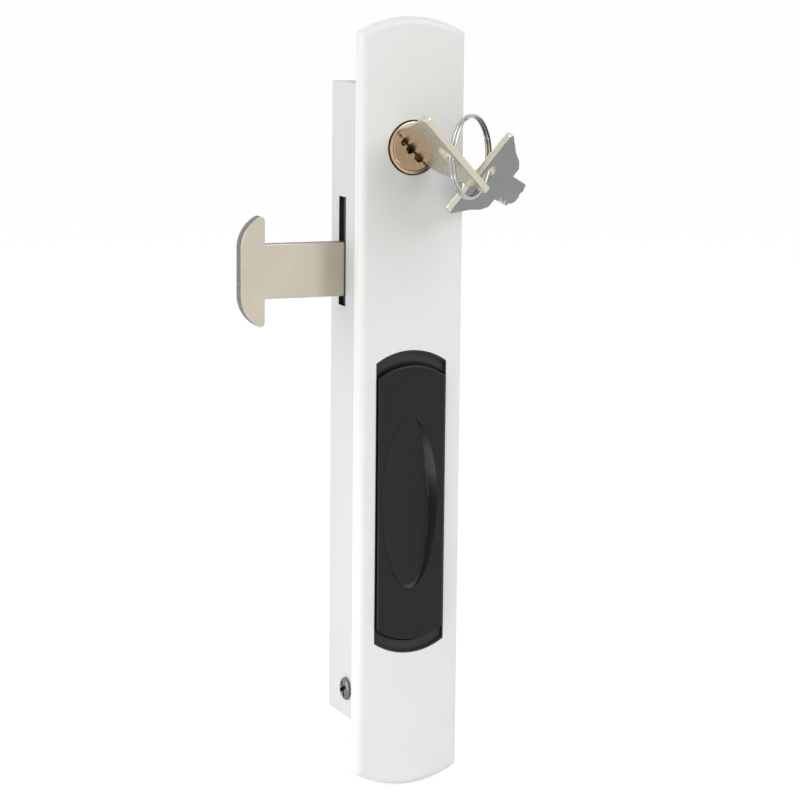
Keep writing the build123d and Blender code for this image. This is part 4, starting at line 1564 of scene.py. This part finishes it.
@dataclass
class Keys:
    """The key in the plug, the spare key, and the split ring that joins them."""

    thickness: float = 0.0018
    bow_start: float = 0.0022
    bow_length: float = 0.028
    bow_half_widths: Tuple[float, ...] = (0.007, 0.0088, 0.0103, 0.0137)
    bow_shares: Tuple[float, ...] = (0.0, 0.17, 0.48, 0.93)
    bow_end_half: float = 0.0133
    bow_rounds: Tuple[float, ...] = (0.0006, 0.0008, 0.003, 0.004, 0.0009, 0.0008)
    tip_rounds: Tuple[float, ...] = (0.0004, 0.0004, 0.0006)
    hole_radius: float = 0.0038
    hole_place: Point2 = (0.0236, 0.0005)
    blade_length: float = 0.0194
    blade_half: float = 0.0042
    tip_chamfer: float = 0.0024
    pitch: float = 0.0026
    cuts: Tuple[float, ...] = (0.0012, 0.0006, 0.0016, 0.0009, 0.0014)
    groove_width: float = 0.0014
    groove_depth: float = 0.00035
    groove_offset: float = 0.00105
    edge: float = 0.00022
    cut_edge: float = 0.0001
    cut_slope: float = 0.7
    edge_facets: int = 2
    corner_facets: int = 5
    hole_facets: int = 56
    wire_facets: int = 5
    flat_share: float = 0.9
    inserted_origin: Point3 = (0.0, -0.0045, 0.0739)
    inserted_across: Point3 = (0.681998, 0.0, -0.731354)
    ring_centre: Point3 = (0.009102, -0.022816, 0.072451)
    ring_away: Point3 = (0.77002, 0.63250, -0.08368)
    ring_side: Point3 = (0.63473, -0.77273, 0.0)
    ring_radius: float = 0.0112
    ring_wire: float = 0.00048
    ring_offset: float = 0.00045
    ring_steps: int = 288
    crossing_degrees: float = 34.0
    crossing_start_degrees: float = 118.0
    spare_on_ring: Point3 = (0.0167784, -0.0165102, 0.0672793)
    spare_across: Point3 = (0.57256, -0.23619, 0.78510)
    spare_along: Point3 = (0.60933, 0.76329, -0.21474)
    spare_hang: float = 0.0003
    spare_side: float = -0.0004

    def outline(self) -> List[Point2]:
        """Outline of bow and blade together, with the bow towards +X.

        Returns:
            Points in order, (along the key, across it).
        """
        start = self.bow_start
        half = self.blade_half
        upper = [(start, half)]
        for share, width in zip(self.bow_shares, self.bow_half_widths):
            upper.append((start + self.bow_length * share, width))
        upper.append((start + self.bow_length, self.bow_end_half))
        tip = start - self.blade_length
        points = upper + [(u, -v) for u, v in reversed(upper)]
        radii = list(self.bow_rounds) + list(reversed(self.bow_rounds))
        place = tip + self.tip_chamfer
        notches: List[Point2] = [(place, -half + self.cuts[0])]
        for depth in self.cuts:
            notches.append((place + self.pitch * self.cut_slope, -half + depth))
            place += self.pitch
            notches.append((place, -half))
        points += list(reversed(notches))
        radii += [0.0] * len(notches)
        slope = self.tip_chamfer
        points += [(tip, -half + slope), (tip, half - slope), (tip + slope, half)]
        radii += self.tip_rounds
        return smooth_outline(points, radii, self.corner_facets)

    def blank(self, name: str) -> Piece:
        """One key, flat on the X-Y plane of its own frame.

        Args:
            name: The key's name.

        Returns:
            The key.
        """
        half = self.thickness / 2
        piece = prism(name, self.outline(), -half, half)

        def on_rim(a: Vector, b: Vector) -> bool:
            """True for an edge of either flat face."""
            return abs(a.y) > half - SAME_POINT and abs(b.y) > half - SAME_POINT and a.y * b.y > 0

        round_edges(piece, on_rim, self.edge, self.edge_facets)
        u, v = self.hole_place
        drill(piece, (u, -half - OVERRUN, v), half + OVERRUN, self.hole_radius, steps=self.hole_facets)
        tip = self.bow_start - self.blade_length - OVERRUN
        for side in (-1, 1):
            v = side * self.groove_offset
            low = (tip, side * half - self.groove_depth, v - self.groove_width / 2)
            high = (self.bow_start, side * half + self.groove_depth, v + self.groove_width / 2)
            cut(piece, bar("groove_cutter", low, high))
        soften(piece, self.cut_edge, angle=SHARP_CREASE_DEGREES)
        # The outline was drawn in X and Z, so it is turned to lie in local X and Y.
        return moved_by(piece, Matrix.Rotation(-math.pi / 2, 4, "X"))

    def frame_of(self, origin: Vector, outwards: Vector, across: Vector) -> Matrix:
        """Frame of a key: local X outwards along the bow, local Y across it.

        Args:
            origin: Place of the key's origin.
            outwards: Direction of its bow.
            across: Direction across its bow.

        Returns:
            The frame.
        """
        normal = outwards.cross(across).normalized()
        place = Matrix((outwards, across, normal)).transposed().to_4x4()
        place.translation = origin
        return place

    def inserted_key(self) -> Piece:
        """The key in the plug.

        Returns:
            The key.
        """
        across = Vector(self.inserted_across)
        place = self.frame_of(Vector(self.inserted_origin), Vector((0.0, -1.0, 0.0)), across)
        return moved_by(self.blank("key_in_plug"), place)

    def spare_key(self) -> Piece:
        """The key that hangs on the ring.

        Returns:
            The key.
        """
        across, along = Vector(self.spare_across), Vector(self.spare_along)
        hole = Vector(self.spare_on_ring) - across * self.spare_hang + along * self.spare_side
        origin = hole + along * self.hole_place[0] - across * self.hole_place[1]
        return moved_by(self.blank("key_on_ring"), self.frame_of(origin, -along, across))

    def ring(self) -> Piece:
        """Split ring: two turns of wire side by side, with a crossing between them.

        Returns:
            The ring.
        """
        away = Vector(self.ring_away).normalized()
        side = Vector(self.ring_side).normalized()
        up = side.cross(away).normalized()
        centre = Vector(self.ring_centre)
        crossing = math.radians(self.crossing_degrees)
        start = math.radians(self.crossing_start_degrees)
        path = []
        for index in range(self.ring_steps + 1):
            angle = 2 * math.tau * index / self.ring_steps
            share = min(1.0, max(0.0, (angle - math.tau + crossing / 2) / crossing))
            share = share * share * (3 - 2 * share)
            lift = self.ring_offset * (2 * share - 1)
            turn = start + angle
            spoke = away * (self.ring_radius * math.cos(turn)) + up * (self.ring_radius * math.sin(turn))
            path.append(centre + spoke + side * lift)
        curve = bpy.data.curves.new("split_ring_path", "CURVE")
        curve.dimensions = "3D"
        curve.bevel_depth = self.ring_wire
        curve.bevel_resolution = self.wire_facets
        curve.use_fill_caps = True
        spline = curve.splines.new("POLY")
        spline.points.add(len(path) - 1)
        for point, place in zip(spline.points, path):
            point.co = (*place, 1.0)
        piece = bpy.data.objects.new("split_ring", curve)
        bpy.context.scene.collection.objects.link(piece)
        select_only(piece)
        bpy.ops.object.convert(target="MESH")
        return face_out(bpy.context.object)

    def build(self, rack: FinishRack) -> None:
        """Builds both keys and the ring.

        Args:
            rack: The finishes.
        """
        rows = (
            (self.inserted_key(), "key_nickel", Body.PLUG, "operating_key", "key_nickel"),
            (self.ring(), "ring_nickel", Body.RING, "key_ring", "ring_chrome"),
            (self.spare_key(), "spare_key_nickel_painted_shade", Body.SPARE, "spare_key", "key_nickel"),
        )
        flat = (-Vector(self.spare_along)).cross(Vector(self.spare_across)).normalized()
        for piece, finish, body, node, slot in rows:
            rack.present(piece, finish, body, node)
            # The spare key's flat faces keep the dark copy of the nickel, painted shade; its edges get the
            # keys' own nickel.
            if body is Body.SPARE:
                rack.dress_faces(piece, "key_nickel", lambda at, out: abs(out.dot(flat)) < self.flat_share)


class InnerWorks:
    """CAD nodes inside the case that stay as they are and only get their finish."""

    FINISH_OF: Dict[str, str] = {
        "slide_carrier": "zinc_plate",
        "slide_screws": "screw_steel",
        "slide_drive_pin": "pin_steel",
        "transfer_lever": "zinc_plate",
        "lever_pivot_pin": "pin_steel",
        "lever_retaining_ring": "screw_steel",
        "bolt_carriage": "zinc_plate",
        "bolt_rivets": "screw_steel",
        "carriage_drive_pin": "pin_steel",
        "guide_rail_left": "zinc_plate",
        "guide_rail_right": "zinc_plate",
        "bolt_dust_shield": "shield_moulding",
        "detent_ball": "pin_steel",
        "detent_spring": "pin_steel",
        "cylinder_screws": "screw_steel",
        "wafer_tumblers": "wafer_brass",
        "key_cam": "zinc_plate",
        "cam_screw": "screw_steel",
    }

    def dress(self, nodes: Dict[str, Piece], rack: FinishRack) -> None:
        """Gives every remaining CAD node its finish.

        Args:
            nodes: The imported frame's nodes.
            rack: The finishes.
        """
        for name, finish in self.FINISH_OF.items():
            rack.dress(nodes[name], finish)


@dataclass
class Studio:
    """Camera, floor, world and lamps."""

    camera_place: Point3 = (-0.2973, -0.6959, 0.1257)
    yaw_degrees: float = 23.03
    pitch_degrees: float = 9.28
    roll_degrees: float = -0.57
    lens: float = 121.5
    sensor: float = 36.0
    floor_z: float = -0.1102
    floor_size: float = 60.0
    floor_colour: Colour = (0.93, 0.93, 0.93)
    floor_roughness: float = 0.9
    floor_glow: float = 1.14
    floor_glow_share: float = 0.75
    world_strength: float = 0.52
    softboxes: Tuple[Tuple[str, Point3, Point3, float, float], ...] = (
        ("left_softbox", (-1.0, 0.12, 0.35), (0.0, 0.0, 0.0), 0.8, 5.0),
        ("front_softbox", (0.45, -0.95, 0.95), (0.0, 0.0, 0.0), 1.0, 8.0),
        ("low_softbox", (-0.128, -0.036, -0.077), (0.0055, -0.004, -0.0145), 0.04, 0.03),
    )

    def camera(self) -> None:
        """Places the camera at the photograph's angle."""
        yaw, pitch = math.radians(self.yaw_degrees), math.radians(self.pitch_degrees)
        roll = math.radians(self.roll_degrees)
        ahead = Vector((math.sin(yaw) * math.cos(pitch), math.cos(yaw) * math.cos(pitch), -math.sin(pitch)))
        level = Vector((math.cos(yaw), -math.sin(yaw), 0.0))
        down = ahead.cross(level)
        right = level * math.cos(roll) + down * math.sin(roll)
        down = down * math.cos(roll) - level * math.sin(roll)
        turn = Matrix((right, -down, -ahead)).transposed().to_euler()
        deselect_all()
        bpy.ops.object.camera_add(location=self.camera_place, rotation=turn)
        camera = bpy.context.object
        camera.data.lens = self.lens
        camera.data.sensor_width = self.sensor
        camera.data.clip_start = 0.01
        bpy.context.scene.camera = camera

    def lamp(self, name: str, place: Point3, aim: Point3, size: float, power: float) -> None:
        """Adds one soft square lamp.

        Args:
            name: The lamp's name.
            place: Where it hangs.
            aim: The point that it looks at.
            size: Length of its side.
            power: Its power in watts.
        """
        turn = (Vector(aim) - Vector(place)).to_track_quat("-Z", "Y").to_euler()
        deselect_all()
        bpy.ops.object.light_add(type="AREA", location=place, rotation=turn)
        lamp = bpy.context.object
        lamp.name = name
        lamp.data.shape = "SQUARE"
        lamp.data.size = size
        lamp.data.energy = power
        lamp.visible_camera = False

    def world(self) -> None:
        """A white surround that the camera and reflections see as white."""
        world = bpy.data.worlds.new("studio_surround")
        bpy.context.scene.world = world
        world.use_nodes = True
        tree = world.node_tree
        background = tree.nodes["Background"]
        background.inputs["Color"].default_value = (1.0, 1.0, 1.0, 1.0)
        strength = tree.nodes.new("ShaderNodeMapRange")
        strength.inputs["To Min"].default_value = self.world_strength
        strength.inputs["To Max"].default_value = 1.0
        tree.links.new(seen_directly(tree), strength.inputs["Value"])
        tree.links.new(strength.outputs["Result"], background.inputs["Strength"])

    def floor(self) -> None:
        """A plain pale floor under the lock's lower end."""
        deselect_all()
        bpy.ops.mesh.primitive_plane_add(size=self.floor_size, location=(0.0, 0.0, self.floor_z))
        floor = settle(bpy.context.object)
        floor.name = "studio_floor"
        sheet = ShaderSheet("floor_paper")
        sheet.shader.inputs["Base Color"].default_value = (*self.floor_colour, 1.0)
        sheet.shader.inputs["Roughness"].default_value = self.floor_roughness
        glow = sheet.add("ShaderNodeEmission")
        glow.inputs["Color"].default_value = (1.0, 1.0, 1.0, 1.0)
        glow.inputs["Strength"].default_value = self.floor_glow
        blend = sheet.add("ShaderNodeMixShader")
        part = sheet.add("ShaderNodeMath", operation="MULTIPLY")
        sheet.join(seen_directly(sheet.tree), part.inputs[0])
        part.inputs[1].default_value = self.floor_glow_share
        sheet.join(part.outputs[0], blend.inputs["Fac"])
        sheet.join(sheet.shader.outputs["BSDF"], blend.inputs[1])
        sheet.join(glow.outputs["Emission"], blend.inputs[2])
        output = sheet.tree.nodes["Material Output"]
        sheet.join(blend.outputs["Shader"], output.inputs["Surface"])
        floor.data.materials.append(sheet.material)

    def build(self) -> None:
        """Sets the whole studio up."""
        self.camera()
        self.world()
        self.floor()
        for name, place, aim, size, power in self.softboxes:
            self.lamp(name, place, aim, size, power)
        bpy.context.scene.view_settings.view_transform = "Standard"


def main() -> None:
    """Builds the lock's looks in order."""
    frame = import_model()
    rack = FinishRack()
    assemblies = (FacePlate(), FixingPosts(), LockCase(), SlideUnit(), SlidingBolt(), Cylinder(), Keys())
    for assembly in assemblies:
        LOG.info("building %s", type(assembly).__name__)
        assembly.build(rack)
    InnerWorks().dress(frame["nodes"], rack)
    Studio().build()


if __name__ == "__main__":
    main()
